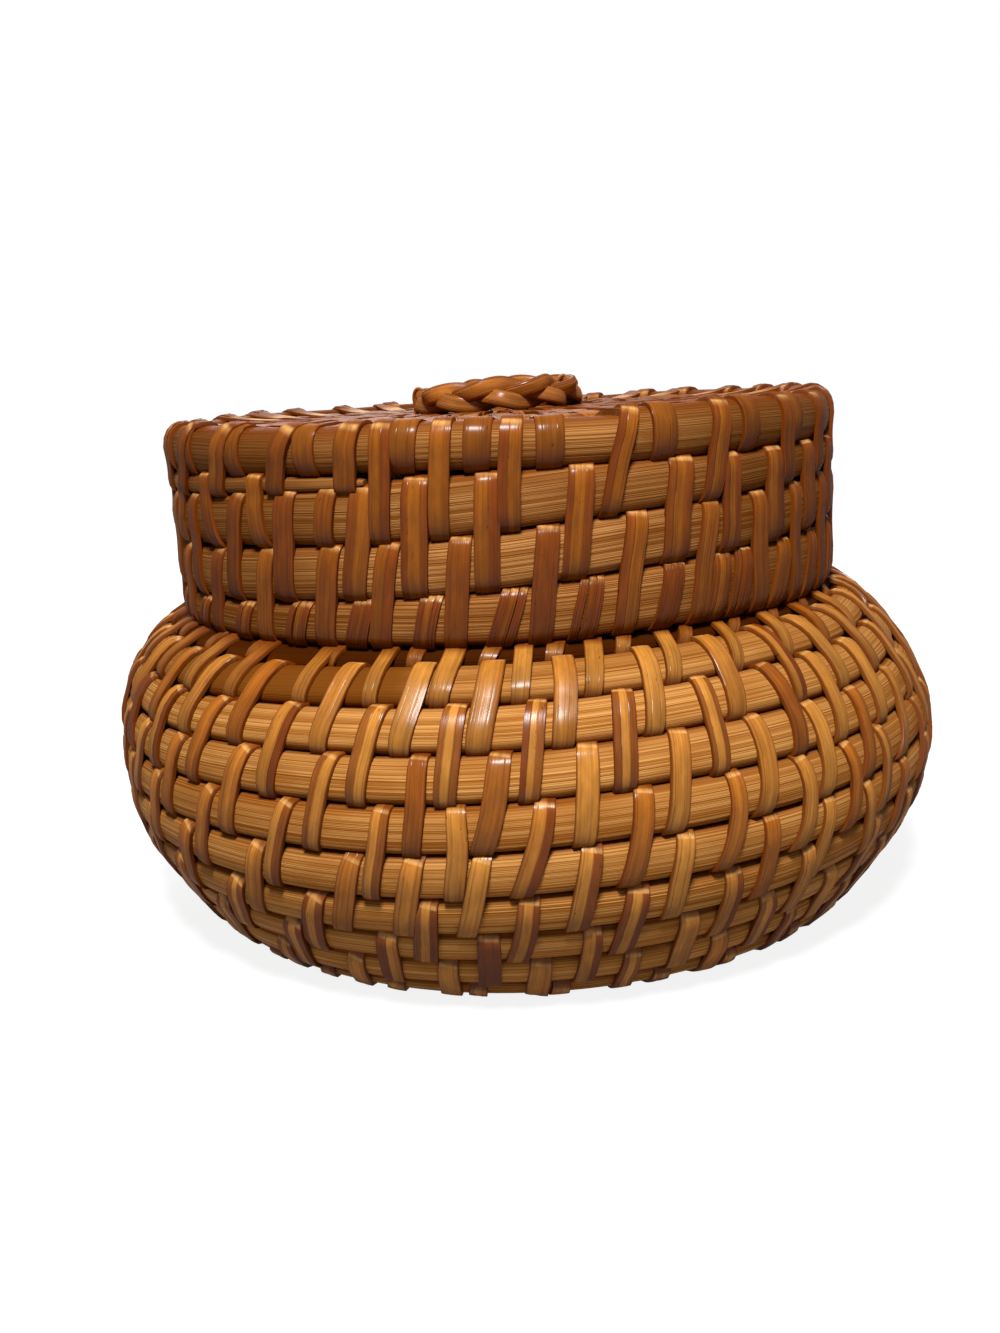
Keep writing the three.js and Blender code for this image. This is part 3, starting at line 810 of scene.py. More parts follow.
def add_stitch(grids, rows, at_angle, strip, dip=0.22 * MM, up=None):
    """Binds rows, each a coil and a turn, from the upper one to the lower one."""
    up = way_up(rows) if up is None else up
    outlines = [coil.outline(turn, OUTLINE_POINTS, CLEAR_OF_ROD + strip.lift)[0] for coil, turn in rows]
    middle_out = unit(sum(coil.frame_at(turn)[2] for coil, turn in rows))
    ring, lowest = tight_ring(outlines, up, middle_out, dip)
    walked = walked_along(ring)
    outside = np.arange(len(ring)) <= lowest
    on_the_way_back = 1 - (walked - walked[lowest]) / (walked[-1] - walked[lowest])
    down = np.where(outside, walked / walked[lowest], on_the_way_back)
    arch = np.sin(math.pi * down) * outside
    ripple = 0.05 * MM * np.sin(FULL_TURN * down + strip.wave) * outside
    sideways = strip.lean * (0.5 - down) + strip.bow * arch + ripple
    turned = at_angle + sideways / np.maximum(ring[:, 0], 3 * MM)
    spine = place(ring[:, 0], ring[:, 1], turned)
    along = ways_along(ring)
    facing = unit(together(along[:, 1], -along[:, 0]))
    if np.dot(facing[lowest // 2], middle_out) < 0:
        facing = -facing
    normal = together(facing[:, 0] * np.cos(turned), facing[:, 0] * np.sin(turned), facing[:, 1])
    tangent = unit(ways_along(spine))
    right = unit(np.cross(normal, tangent))
    right, lift = rolled(right, np.cross(tangent, right), strip.roll * arch)
    centre = (strip.left_edge + strip.right_edge) / 2
    across = np.array([-1, -1, -0.97, strip.left_edge, centre, strip.right_edge, 0.97, 1, 1])
    crown = [CANE_THICKNESS, CANE_THICKNESS - strip.ridge, CANE_THICKNESS]
    height = np.concatenate([STRIP_SIDE, crown, STRIP_SIDE[::-1]])
    half_width = strip.width / 2 * (1 - 0.14 * np.abs(2 * down - 1) ** 4)
    # Painted shade: darker where the strip turns in towards the gaps, and in the corner under the lid's rim
    corner = shade_under_rim(ring[:, 0] + 1.5 * MM, ring[:, 1], at_angle)
    sunk = np.maximum(1 - smoothstep(np.abs(facing @ middle_out), 0.25, 0.85), 1.1 * corner)
    grids.add(
        swept(spine, right, lift, half_width[:, None] * across, height),
        -right,
        fibre=together(walked[:, None] / MM, across, strip.seed),
        bands=together(strip.left_edge, strip.right_edge, strip.tone),
        tint=together(strip.left, strip.right, strip.rust),
        depth=together(sunk[:, None], strip.width / MM, down[:, None]),
    )


def filled(turns, spacing, first, last, rng):
    """Fills the long gaps between the turns seen from the front, out to first and last."""
    seen = sorted(turns)
    marks = [first] + seen + [last]
    placed = list(seen)
    for before, after in zip(marks[:-1], marks[1:]):
        here = before
        if after - before < 1.45 * spacing((before + after) / 2):
            continue
        while True:
            step = spacing(here)
            left = after - here
            if left < 1.5 * step:
                break
            here += left / max(2, round(left / step))
            placed.append(here + UNEVEN * step * rng.standard_normal())
    return sorted(placed)


# Materials

def node(tree, kind, inputs=None, **settings):
    """Adds a shader node. An input is a value or the output socket that feeds it."""
    made = tree.nodes.new(kind)
    for name, value in settings.items():
        setattr(made, name, value)
    for key, value in (inputs or {}).items():
        if isinstance(value, bpy.types.NodeSocket):
            tree.links.new(value, made.inputs[key])
        else:
            made.inputs[key].default_value = value
    return made


def maths(tree, operation, *values):
    return node(tree, "ShaderNodeMath", dict(enumerate(values)), operation=operation).outputs[0]


def times(tree, first, second):
    return maths(tree, "MULTIPLY", first, second)


def plus(tree, first, second):
    return maths(tree, "ADD", first, second)


def minus(tree, first, second):
    return maths(tree, "SUBTRACT", first, second)


def mapped(tree, value, low, high, to_low=0.0, to_high=1.0):
    inputs = {"Value": value, "From Min": low, "From Max": high, "To Min": to_low, "To Max": to_high}
    return node(tree, "ShaderNodeMapRange", inputs, interpolation_type="SMOOTHSTEP").outputs["Result"]


def mixed(tree, factor, first, second, blend="MIX"):
    inputs = {0: factor, 6: first, 7: second}
    return node(tree, "ShaderNodeMix", inputs, data_type="RGBA", blend_type=blend).outputs[2]


def attribute(tree, name):
    read = node(tree, "ShaderNodeAttribute", attribute_name=name)
    return node(tree, "ShaderNodeSeparateXYZ", {"Vector": read.outputs["Vector"]}).outputs


def joined(tree, x, y, z):
    return node(tree, "ShaderNodeCombineXYZ", {"X": x, "Y": y, "Z": z}).outputs[0]


def noise(tree, vector, detail, scale=1.0):
    inputs = {"Vector": vector, "Scale": scale, "Detail": detail, "Roughness": 0.55}
    return node(tree, "ShaderNodeTexNoise", inputs).outputs["Fac"]


def seen_rays(tree):
    """1 for a ray that shows the stage itself or its mirror image, 0 for a ray that lights the basket."""
    rays = node(tree, "ShaderNodeLightPath").outputs
    seen = maths(tree, "MAXIMUM", rays["Is Camera Ray"], rays["Is Glossy Ray"])
    return maths(tree, "MAXIMUM", seen, rays["Is Transmission Ray"])


def opaque(value):
    return (*value, 1.0)


def new_material(name):
    material = bpy.data.materials.new(name)
    material.use_nodes = True
    tree = material.node_tree
    tree.nodes.clear()
    return material, tree


def finish_material(tree, base, roughness, relief, relief_depth, specular, coat, coat_roughness):
    """A matt surface under a thin bright gloss, which follows the relief less than the surface does."""
    bump, coat_bump = (
        node(tree, "ShaderNodeBump", {"Height": relief, "Strength": strength, "Distance": relief_depth})
        for strength in (1.0, 0.4)
    )
    surface = node(
        tree,
        "ShaderNodeBsdfPrincipled",
        {
            "Base Color": base,
            "Roughness": roughness,
            "Normal": bump.outputs["Normal"],
            "Specular IOR Level": specular,
            "Coat Weight": coat,
            "Coat Roughness": coat_roughness,
            "Coat IOR": 4.0,
            "Coat Normal": coat_bump.outputs["Normal"],
        },
    )
    node(tree, "ShaderNodeOutputMaterial", {"Surface": surface.outputs[0]})


def shaded(tree, base, factor):
    """A colour made lighter or darker by a factor."""
    return mixed(tree, 1.0, base, joined(tree, factor, factor, factor), "MULTIPLY")


def painted_gap_shade(tree, base, sunk):
    """Painted shade: a colour that goes over to the shade colour as sunk comes to 1, and on to a quarter of
    that at 2.
    """
    base = mixed(tree, times(tree, sunk, 0.85), base, opaque(colours().gap))
    return shaded(tree, base, mapped(tree, sunk, 1.0, 2.0, 1.0, 0.25))


def streaks(tree, place_on, along_scale, across_scale, detail):
    """Noise drawn out along the fibres. place_on is along the strip or rod, across it, and its seed."""
    along, across, seed = place_on
    vector = joined(tree, times(tree, along, along_scale), times(tree, across, across_scale), seed)
    return noise(tree, vector, detail)


def rod_material(name, clean, deep):
    """Split rattan: long fibres with dark lines between them, patchy tone, and painted shade in the gaps,
    under the lid's rim and beside the front.
    """
    material, tree = new_material(name)
    place_on = attribute(tree, "fibre")
    tone, sunk, _ = attribute(tree, "look")
    broad = streaks(tree, place_on, 0.006, 1.9, 2.0)
    fine = streaks(tree, place_on, 0.008, 6.2, 1.5)
    patches = streaks(tree, place_on, 0.055, 0.16, 2.0)
    grain = plus(tree, times(tree, broad, 0.4), times(tree, fine, 0.6))
    base = mixed(tree, mapped(tree, grain, 0.37, 0.64), opaque(deep), opaque(clean))
    base = mixed(tree, mapped(tree, patches, 0.40, 0.75, 0.0, 0.5), base, opaque(deep))
    lines = mapped(tree, fine, 0.36, 0.28)
    base = mixed(tree, times(tree, lines, 0.6), base, opaque(colours().gap))
    # Painted shade, with a little random tone, darkens the rod towards its deep colour
    base = mixed(tree, tone, base, opaque([0.55 * value for value in deep]))
    finish_material(
        tree,
        painted_gap_shade(tree, base, sunk),
        roughness=mapped(tree, broad, 0.3, 0.7, 0.50, 0.36),
        relief=grain,
        relief_depth=0.3 * MM,
        specular=0.006,
        coat=0.0,
        coat_roughness=0.3,
    )
    return material


def cane_material(name, light, amber, coat):
    """Glossy peel: a light strip with darker skin along one or both sides, fine fibres, specks, a painted
    highlight on the top bend, and painted shade along the edges, in the gaps and towards the foot.
    """
    look = colours()
    material, tree = new_material(name)
    along, across, seed = attribute(tree, "fibre")
    left_edge, right_edge, tone = attribute(tree, "bands")
    left, right, rusty = attribute(tree, "tint")
    sunk, width, down = attribute(tree, "depth")
    side = times(tree, across, width)
    place_on = (along, side, seed)
    fine = streaks(tree, place_on, 0.03, 1.7, 2.0)
    broad = streaks(tree, place_on, 0.035, 0.55, 2.0)
    blotches = streaks(tree, place_on, 0.22, 0.35, 3.0)

    # The peel's own tone, and the skin left along its sides with a wavering edge
    level = plus(tree, tone, times(tree, minus(tree, broad, 0.5), 0.9))
    base = mixed(tree, mapped(tree, level, 0.0, 1.0), opaque(amber), opaque(light))
    wavering = plus(tree, across, times(tree, minus(tree, blotches, 0.5), 0.16))
    left_dark = times(tree, mapped(tree, minus(tree, left_edge, wavering), -0.03, 0.04), left)
    right_dark = times(tree, mapped(tree, minus(tree, wavering, right_edge), -0.03, 0.04), right)
    dark = maths(tree, "MAXIMUM", left_dark, right_dark)
    dark.node.use_clamp = True
    base = mixed(tree, dark, base, opaque(look.peel_edge))
    base = mixed(tree, rusty, base, opaque(look.rust))

    # Fibres and blotches, a painted highlight on the bend at the top, and painted shade that makes the foot
    # darker than the top
    base = shaded(tree, base, mapped(tree, fine, 0.30, 0.60, 0.84, 1.08))
    base = shaded(tree, base, mapped(tree, blotches, 0.35, 0.7, 0.82, 1.08))
    # Painted highlight: a pale patch where the strip bends over its upper row
    bend = times(tree, mapped(tree, sunk, 0.02, 0.25), mapped(tree, sunk, 0.75, 0.4))
    bend = times(tree, bend, mapped(tree, down, 0.36, 0.2))
    bend_highlight = times(tree, bend, mapped(tree, blotches, 0.35, 0.65, 0.25, 0.6))
    base = mixed(tree, bend_highlight, base, opaque(look.bend_highlight_colour))
    # Painted shade: each strip lighter at its top and darker towards its foot
    base = shaded(tree, base, mapped(tree, down, 0.1, 1.0, 1.14, 0.66))

    # Painted shade along the edges, dark specks, and painted shade in the gaps
    # Painted shade: the strip darker along both edges
    rim = mapped(tree, maths(tree, "ABSOLUTE", across), 0.80, 0.98, 0.0, 0.85)
    base = mixed(tree, rim, base, opaque(look.gap))
    specks = noise(tree, joined(tree, times(tree, along, 0.55), side, seed), detail=1.0, scale=1.15)
    speck_colour = opaque([0.4 * value for value in look.gap])
    base = mixed(tree, mapped(tree, specks, 0.74, 0.79, 0.0, 0.8), base, speck_colour)
    base = painted_gap_shade(tree, base, sunk)

    # Relief of fibres and blotches, with a groove where the side skin begins
    relief = plus(tree, times(tree, fine, 0.5), times(tree, blotches, 0.6))
    for band_edge in (left_edge, right_edge):
        off = maths(tree, "ABSOLUTE", minus(tree, wavering, band_edge))
        relief = plus(tree, relief, mapped(tree, off, 0.0, 0.08, -0.7, 0.0))
    finish_material(
        tree,
        base,
        roughness=mapped(tree, blotches, 0.3, 0.7, 0.34, 0.48),
        relief=relief,
        relief_depth=0.12 * MM,
        specular=0.002,
        coat=coat,
        coat_roughness=0.24,
    )
    return material


# Strips differ in the colour of the peel and in the skin that was left along either side:
# the tone from amber 0 to light 1, how dark the left and right sides are, how red-brown the whole strip is,
# and where the two sides begin, from -1 at the left edge to 1 at the right edge
Style = collections.namedtuple("Style", "tone left right rust left_edge right_edge")
STYLES = {
    "y": Style(1.0, 0.05, 0.1, 0, -0.5, 0.45),
    "g": Style(0.7, 0.12, 0.3, 0, -0.6, 0.4),
    "a": Style(0.25, 0.2, 0.4, 0, -0.6, 0.45),
    "l": Style(0.75, 0.95, 0.15, 0, -0.12, 0.7),
    "r": Style(0.7, 0.15, 0.95, 0, -0.7, 0.15),
    "b": Style(0.85, 0.9, 0.95, 0, -0.45, 0.35),
    "m": Style(0.4, 0.1, 0.3, 0.5, -0.6, 0.6),
    "d": Style(0.2, 0.5, 0.7, 0.9, -0.5, 0.4),
}

# The stitches that the front shows, by the row on which each starts: where its top and its foot lie,
# in degrees to the right of the front, and its style
BODY_STITCHES = {
    19: [
        (-11.7, -14.2, "g"), (-1.9, -4.4, "g"), (7.3, 4.8, "g"), (17, 14.4, "y"), (26.5, 24, "g"),
        (35.3, 32.8, "g"), (44.3, 41.8, "g"), (53.5, 51, "a"),
    ],
    18: [
        (-56.5, -60, "a"), (-46.5, -49.5, "g"), (-37.4, -40, "a"), (-26.4, -28.2, "g"), (-16.8, -18.4, "y"),
        (-7.6, -9.8, "y"), (2, 0, "y"), (12, 8.6, "y"), (21.6, 19, "y"), (30.8, 28.6, "g"), (40, 37.6, "g"),
        (49, 46.4, "a"), (58.4, 56, "g"),
    ],
    17: [
        (-53, -55.6, "a"), (-43.6, -46.8, "g"), (-33.8, -36.8, "a"), (-21.4, -24.4, "g"),
        (-11.6, -14.4, "y"), (-2.8, -5.6, "g"), (6.2, 4, "g"), (17, 14.4, "y"), (26.4, 25.2, "g"),
        (35.4, 35.4, "r"), (43.8, 44.4, "y"), (52.8, 54, "g"),
    ],
    16: [
        (-50.4, -53.4, "r"), (-39.6, -44.2, "a"), (-28, -31.4, "r"), (-16.4, -19.8, "l"), (-7, -9.8, "b"),
        (2.4, -1, "b"), (12.6, 9.4, "b"), (22.6, 20.6, "b"), (32.4, 31.6, "m"), (40.8, 38.4, "g"),
        (50.4, 48, "y"), (62, 60, "g"),
    ],
    15: [
        (-56.4, -61.6, "g"), (-46.4, -50.4, "a"), (-34, -38.2, "a"), (-22, -26, "l"), (-11.6, -14, "m"),
        (-2.6, -6.8, "m"), (7, 4.2, "y"), (17.6, 13.8, "g"), (27.2, 24.6, "g"), (36, 33.6, "y"),
        (45, 41.2, "a"), (56.4, 50.4, "g"),
    ],
    14: [
        (-52, -56, "a"), (-40, -44, "a"), (-28, -32, "r"), (-16.4, -19.2, "r"), (-8.4, -9.8, "g"),
        (1.2, -2.8, "r"), (11.8, 8.8, "a"), (22.3, 19.5, "a"), (31.4, 29.6, "g"), (39, 38, "a"),
        (46.8, 44.8, "r"), (60.4, 57.5, "a"),
    ],
    13: [
        (-45.2, -49.6, "a"), (-32.8, -36.8, "g"), (-20.4, -24.4, "g"), (-6, -9.2, "y"), (5.4, 3.2, "r"),
        (15.6, 14, "y"), (26, 25, "a"), (41.6, 43.6, "g"), (51.6, 50.4, "a"),
    ],
    12: [
        (-50, -54, "b"), (-37.6, -43.6, "b"), (-26, -30, "b"), (-12.6, -15.2, "b"), (-1.4, -3.8, "b"),
        (10.4, 8.8, "b"), (21.4, 21.1, "r"), (32, 32, "g"), (45.6, 43, "b"),
    ],
    11: [
        (-44, -48, "b"), (-31.2, -34.8, "b"), (-18.2, -20.8, "l"), (-6.4, -7.6, "d"), (5.4, 4.2, "r"),
        (17, 17.2, "g"), (27.4, 29, "b"), (38, 40, "g"),
    ],
    10: [
        (-36.5, -39.5, "b"), (-24.6, -27.5, "g"), (-12, -14, "g"), (-0.5, -2, "g"), (11, 10, "b"),
        (22.5, 22, "g"), (34, 34, "b"),
    ],
}
EDGE_STITCHES = [
    (-57.2, -58, "g"), (-42.6, -43.4, "g"), (-28.4, -28.8, "y"), (-12.2, -14.2, "y"), (6.8, 6, "y"),
    (23.2, 22.5, "y"), (38, 38, "g"),
]
SKIRT_STITCHES = {
    0: [(-56, -62.8, "a"), (-44, -48.8, "r"), (-30.8, -35, "a"), (-21, -22.6, "g")],
    1: [
        (60, 59, "a"), (47.4, 47.4, "a"), (33, 29.6, "b"), (18.5, 13.5, "l"), (1.5, 0, "l"),
        (-8, -9.5, "g"), (-16.6, -18, "r"), (-25, -27, "a"), (-38.6, -37.8, "g"), (-52.5, -49.5, "a"),
    ],
    2: [
        (54.8, 54.8, "a"), (44, 43.2, "r"), (34.2, 33.2, "b"), (25.6, 23.4, "b"), (10.8, 8.4, "b"),
        (-2.2, -3.2, "r"), (-12, -13.4, "b"), (-19.6, -22.8, "l"), (-32.4, -34.4, "m"), (-42.4, -46, "a"),
        (-57.2, -57.6, "a"),
    ],
    3: [
        (62, 60, "a"), (50, 49.6, "r"), (40, 39.5, "g"), (30.6, 26.8, "g"), (18.6, 15.2, "l"),
        (5.8, 3.2, "m"), (-6.2, -8.4, "m"), (-16, -19.2, "r"), (-25.4, -28, "g"), (-36.8, -39, "g"),
        (-49.2, -52.4, "a"),
    ],
}
RIM_WRAPS = [
    (57.5, 53, "a"), (47.4, 43, "g"), (37.2, 34.2, "a"), (32.6, 29.6, "a"), (24.4, 20.8, "d"),
    (12, 8.8, "d"), (1.2, -2.8, "d"), (-10.6, -13.2, "d"), (-20.4, -23.6, "d"), (-30.8, -34, "d"),
    (-42.4, -45.6, "d"),
]
BODY_SPACING = 14 * MM
LID_SPACING = 13.6 * MM

# Widths in millimetres by the row on which the strips start
BODY_WIDTHS = {19: 2.8, 18: 3.1, 17: 3.8, 16: 3.6, 15: 3.6, 14: 3.3, 13: 3.6, 12: 4.0, 11: 4.0, 10: 3.6}
SKIRT_WIDTHS = [4.0, 3.8, 4.2, 3.8]
SKIRT_LIFTS = [0.3 * MM, 0.14 * MM, 0, 0]
COLLAR_WIDTH = 3.8
TOP_WIDTH = 4.2
EDGE_WIDTH = 4.4
WRAP_WIDTH = 1.35
EDGE_STRIPS = 30  # round the lid's edge
FEWEST_IN_A_TURN = 7
MOST_IN_A_TURN = 40
FIRST_STITCH = 0.9  # the turn of a flat coil from which it is bound
PAST_LAST = 0.9  # how many turns past its last whole step a coil is bound
BASE_TURNS = 8.5
TURNS_IN_A_PIECE = 3.6
SKIRT_TALL = 0.06  # the share of a row's height from which a strip rounds the skirt's rod
SKIRT_CAD_TALL = 0.08  # and from which the CAD part has that rod
OWN_ROW_ALONE = (1.06, 1.083)  # the turns under the first row's thin end, where a strip rounds one row
WRAPPED = (2.45, 3.4)  # the turns of the skirt that have short wraps
STRAND_STEPS = 240
STRAND_SIDES = 18
PLAIT_LIFT = 1.55 * MM  # from the lid up to the middle of a strand at its lowest
PLAIT_SHARP = 60  # degrees from which an edge is sharp
TIE_WIDTH = 3.2 * MM
FLOOR_REACH = 30.0
FRAME_SHIFT = -0.0335  # how far the photograph's frame lies below the camera's line of sight
WHITE = (1, 1, 1, 1)
LIT_FLOOR = (0.36, 0.345, 0.33, 1)  # the floor's colour as it lights the basket
SHADED_FLOOR = (0.22, 0.22, 0.22, 1)  # what shadows take from the floor as it is seen


def seen_turns(stitches, way):
    """By the coil's turn at its middle, each stitch that the front shows: its row and where it lies."""
    return {
        row + way * (stitch[0] + stitch[1]) / 720: (row, stitch)
        for row, places in stitches.items()
        for stitch in places
    }


def lean_and_style(rng, coil, turn, stitch, usual_lean, usual_styles):
    """How far to the right a stitch's top lies of its foot, and its style."""
    if stitch:
        top, foot, style = stitch
        return math.radians(top - foot) * coil.radius_at(turn), STYLES[style]
    return usual_lean + 0.6 * MM * rng.standard_normal(), STYLES[rng.choice(list(usual_styles))]


def spacing_on(coil, distance):
    """How many turns lie between stitches that are a distance apart."""

    def spacing(turn):
        radius = max(6 * MM, coil.radius_at(max(turn, 0.5)))
        return min(1 / FEWEST_IN_A_TURN, max(1 / MOST_IN_A_TURN, distance / (FULL_TURN * radius)))

    return spacing


def bound_rows(coil, turn, begins):
    """The rows that a stitch binds: its own and the one before, where they have begun and are tall."""
    return [(coil, t) for t in (turn, turn - 1) if t > begins and coil.is_tall(t)]


def bind_evenly(rng, coil, distance, first, last, begins, width, styles):
    """Strips on the rows of a coil that the photograph doesn't show, a distance apart."""
    grids = Grids()
    for turn in filled([], spacing_on(coil, distance), first, last, rng):
        rows = bound_rows(coil, turn, begins)
        if rows:
            lean, style = lean_and_style(rng, coil, turn, None, 2.5 * MM, styles)
            add_stitch(grids, rows, coil.angle(turn), Strip(rng, width, lean, style))
    return grids


# Operators

class BASKET_OT_body_rods(bpy.types.Operator):
    """Lays the fine rods of the base and the wall."""

    bl_idname = "basket.body_rods"
    bl_label = "Body rods"

    def execute(self, context):
        look = colours()
        material = rod_material("clean_rattan", look.body_rod, look.body_rod_deep)
        finish = Finish("basket", "body_rod", material)
        coil = body_coil()
        base_middle = BodyShape().base_middle
        first, last = tall_span(coil)
        level = coil.profile.points[np.abs(coil.profile.points[:, 1] - base_middle) < 1e-9]
        foot = round((level[-1, 0] - coil.first) / coil.pitch * STEPS_PER_TURN) / STEPS_PER_TURN
        dress_rods(coil, "base_rod", (first, foot), 2, finish, 1, open_ends=(True, False), further=(0.2, 0))
        dress_rods(coil, "wall_rod", (foot, last), 10, finish, 3, open_ends=(False, True))
        dress_button("base_button", finish, base_middle + body_sizes().thickness / 2, 0)
        return {"FINISHED"}


class BASKET_OT_body_stitches(bpy.types.Operator):
    """Binds the rows of the body with cane."""

    bl_idname = "basket.body_stitches"
    bl_label = "Body stitches"

    def usual_styles(self, row):
        if row > 16:
            return "yyyggga"
        return "gggaarrlbd" if row > 12 else "bbbrgad"

    def bow(self, row, right):
        """How far a strip bows to the right. Strips beside the front bow away from it."""
        usual = 0.4 * MM if row > 16 else 0.1 * MM
        most = 1.6 * MM if row > 13 else 0.8 * MM
        return usual + most * smoothstep(right, 6, 34) - 0.9 * MM * smoothstep(-right, 8, 34)

    def piece(self, turn):
        """The base's strips are one piece, and the wall's are cut into a few."""
        return "base" if turn < BASE_TURNS else f"wall_{int((turn - BASE_TURNS) // TURNS_IN_A_PIECE) + 1}"

    def execute(self, context):
        rng = np.random.default_rng(7)
        coil = body_coil()
        look = colours()
        material = cane_material("golden_cane", look.body_cane, look.body_cane_amber, coat=0.034)
        seen = seen_turns(BODY_STITCHES, way=1)
        last = tall_span(coil)[1] + PAST_LAST
        groups = {}
        for turn in filled(seen, spacing_on(coil, BODY_SPACING), FIRST_STITCH, last, rng):
            rows = bound_rows(coil, turn, begins=0.3)
            if not rows:
                continue
            row, stitch = seen.get(turn, (min(19, max(10, round(turn))), None))
            lean, style = lean_and_style(rng, coil, turn, stitch, 3.6 * MM, self.usual_styles(row))
            right = degrees_right(coil.angle(turn))
            width = BODY_WIDTHS[row] * (1 - 0.16 * smoothstep(right, 12, 30))
            lift = 0.22 * MM if row > 15 else 0.06 * MM
            strip = Strip(rng, width, lean, style, self.bow(row, right), lift)
            grids = groups.setdefault(self.piece(turn), Grids())
            add_stitch(grids, rows, coil.angle(turn), strip, dip=0.05 * MM)
        finish = Finish("basket", "body_cane", material)
        for name, grids in groups.items():
            finish_piece(grids, f"{name}_stitches", finish, STRIP_SHARP)
        return {"FINISHED"}


class BASKET_OT_collar(bpy.types.Operator):
    """Lays and binds the collar that stands in the mouth."""

    bl_idname = "basket.collar"
    bl_label = "Collar"

    def execute(self, context):
        rng = np.random.default_rng(11)
        coil = collar_coil()
        first, last = tall_span(coil)
        rods = Finish("basket", "body_rod", bpy.data.materials["clean_rattan"])
        dress_rods(coil, "collar_rod", (first, last), 3, rods, 20)
        last_stitch = last + 0.95
        grids = bind_evenly(
            rng, coil, BODY_SPACING, 0.5, last_stitch, begins=0.1, width=COLLAR_WIDTH, styles="yggar"
        )
        strips = Finish("basket", "body_cane", bpy.data.materials["golden_cane"])
        finish_piece(grids, "collar_stitches", strips, STRIP_SHARP)
        return {"FINISHED"}


class BASKET_OT_lid_rods(bpy.types.Operator):
    """Lays the fine rods of the lid's top, edge and skirt."""

    bl_idname = "basket.lid_rods"
    bl_label = "Lid rods"

    def execute(self, context):
        look = colours()
        shape = LidShape()
        finish = Finish("lid", "lid_rod", rod_material("aged_rattan", look.lid_rod, look.lid_rod_deep))
        top = lid_top_coil()
        dress_rods(top, "lid_top_rod", tall_span(top), 2, finish, 30, further=(0.2, 0.13))
        dress_button("lid_button", finish, shape.top_surface, shape.top_bottom)
        skirt = skirt_coil()
        dress_rods(skirt, "skirt_rod", tall_span(skirt, SKIRT_CAD_TALL), 3, finish, 40, further=(0.028, 0))
        whole = (PAST_JOIN, 1.0)
        dress_rods(hoop_coil(), "lid_edge_hoop", whole, 1, finish, 50, open_ends=(False, False))
        return {"FINISHED"}


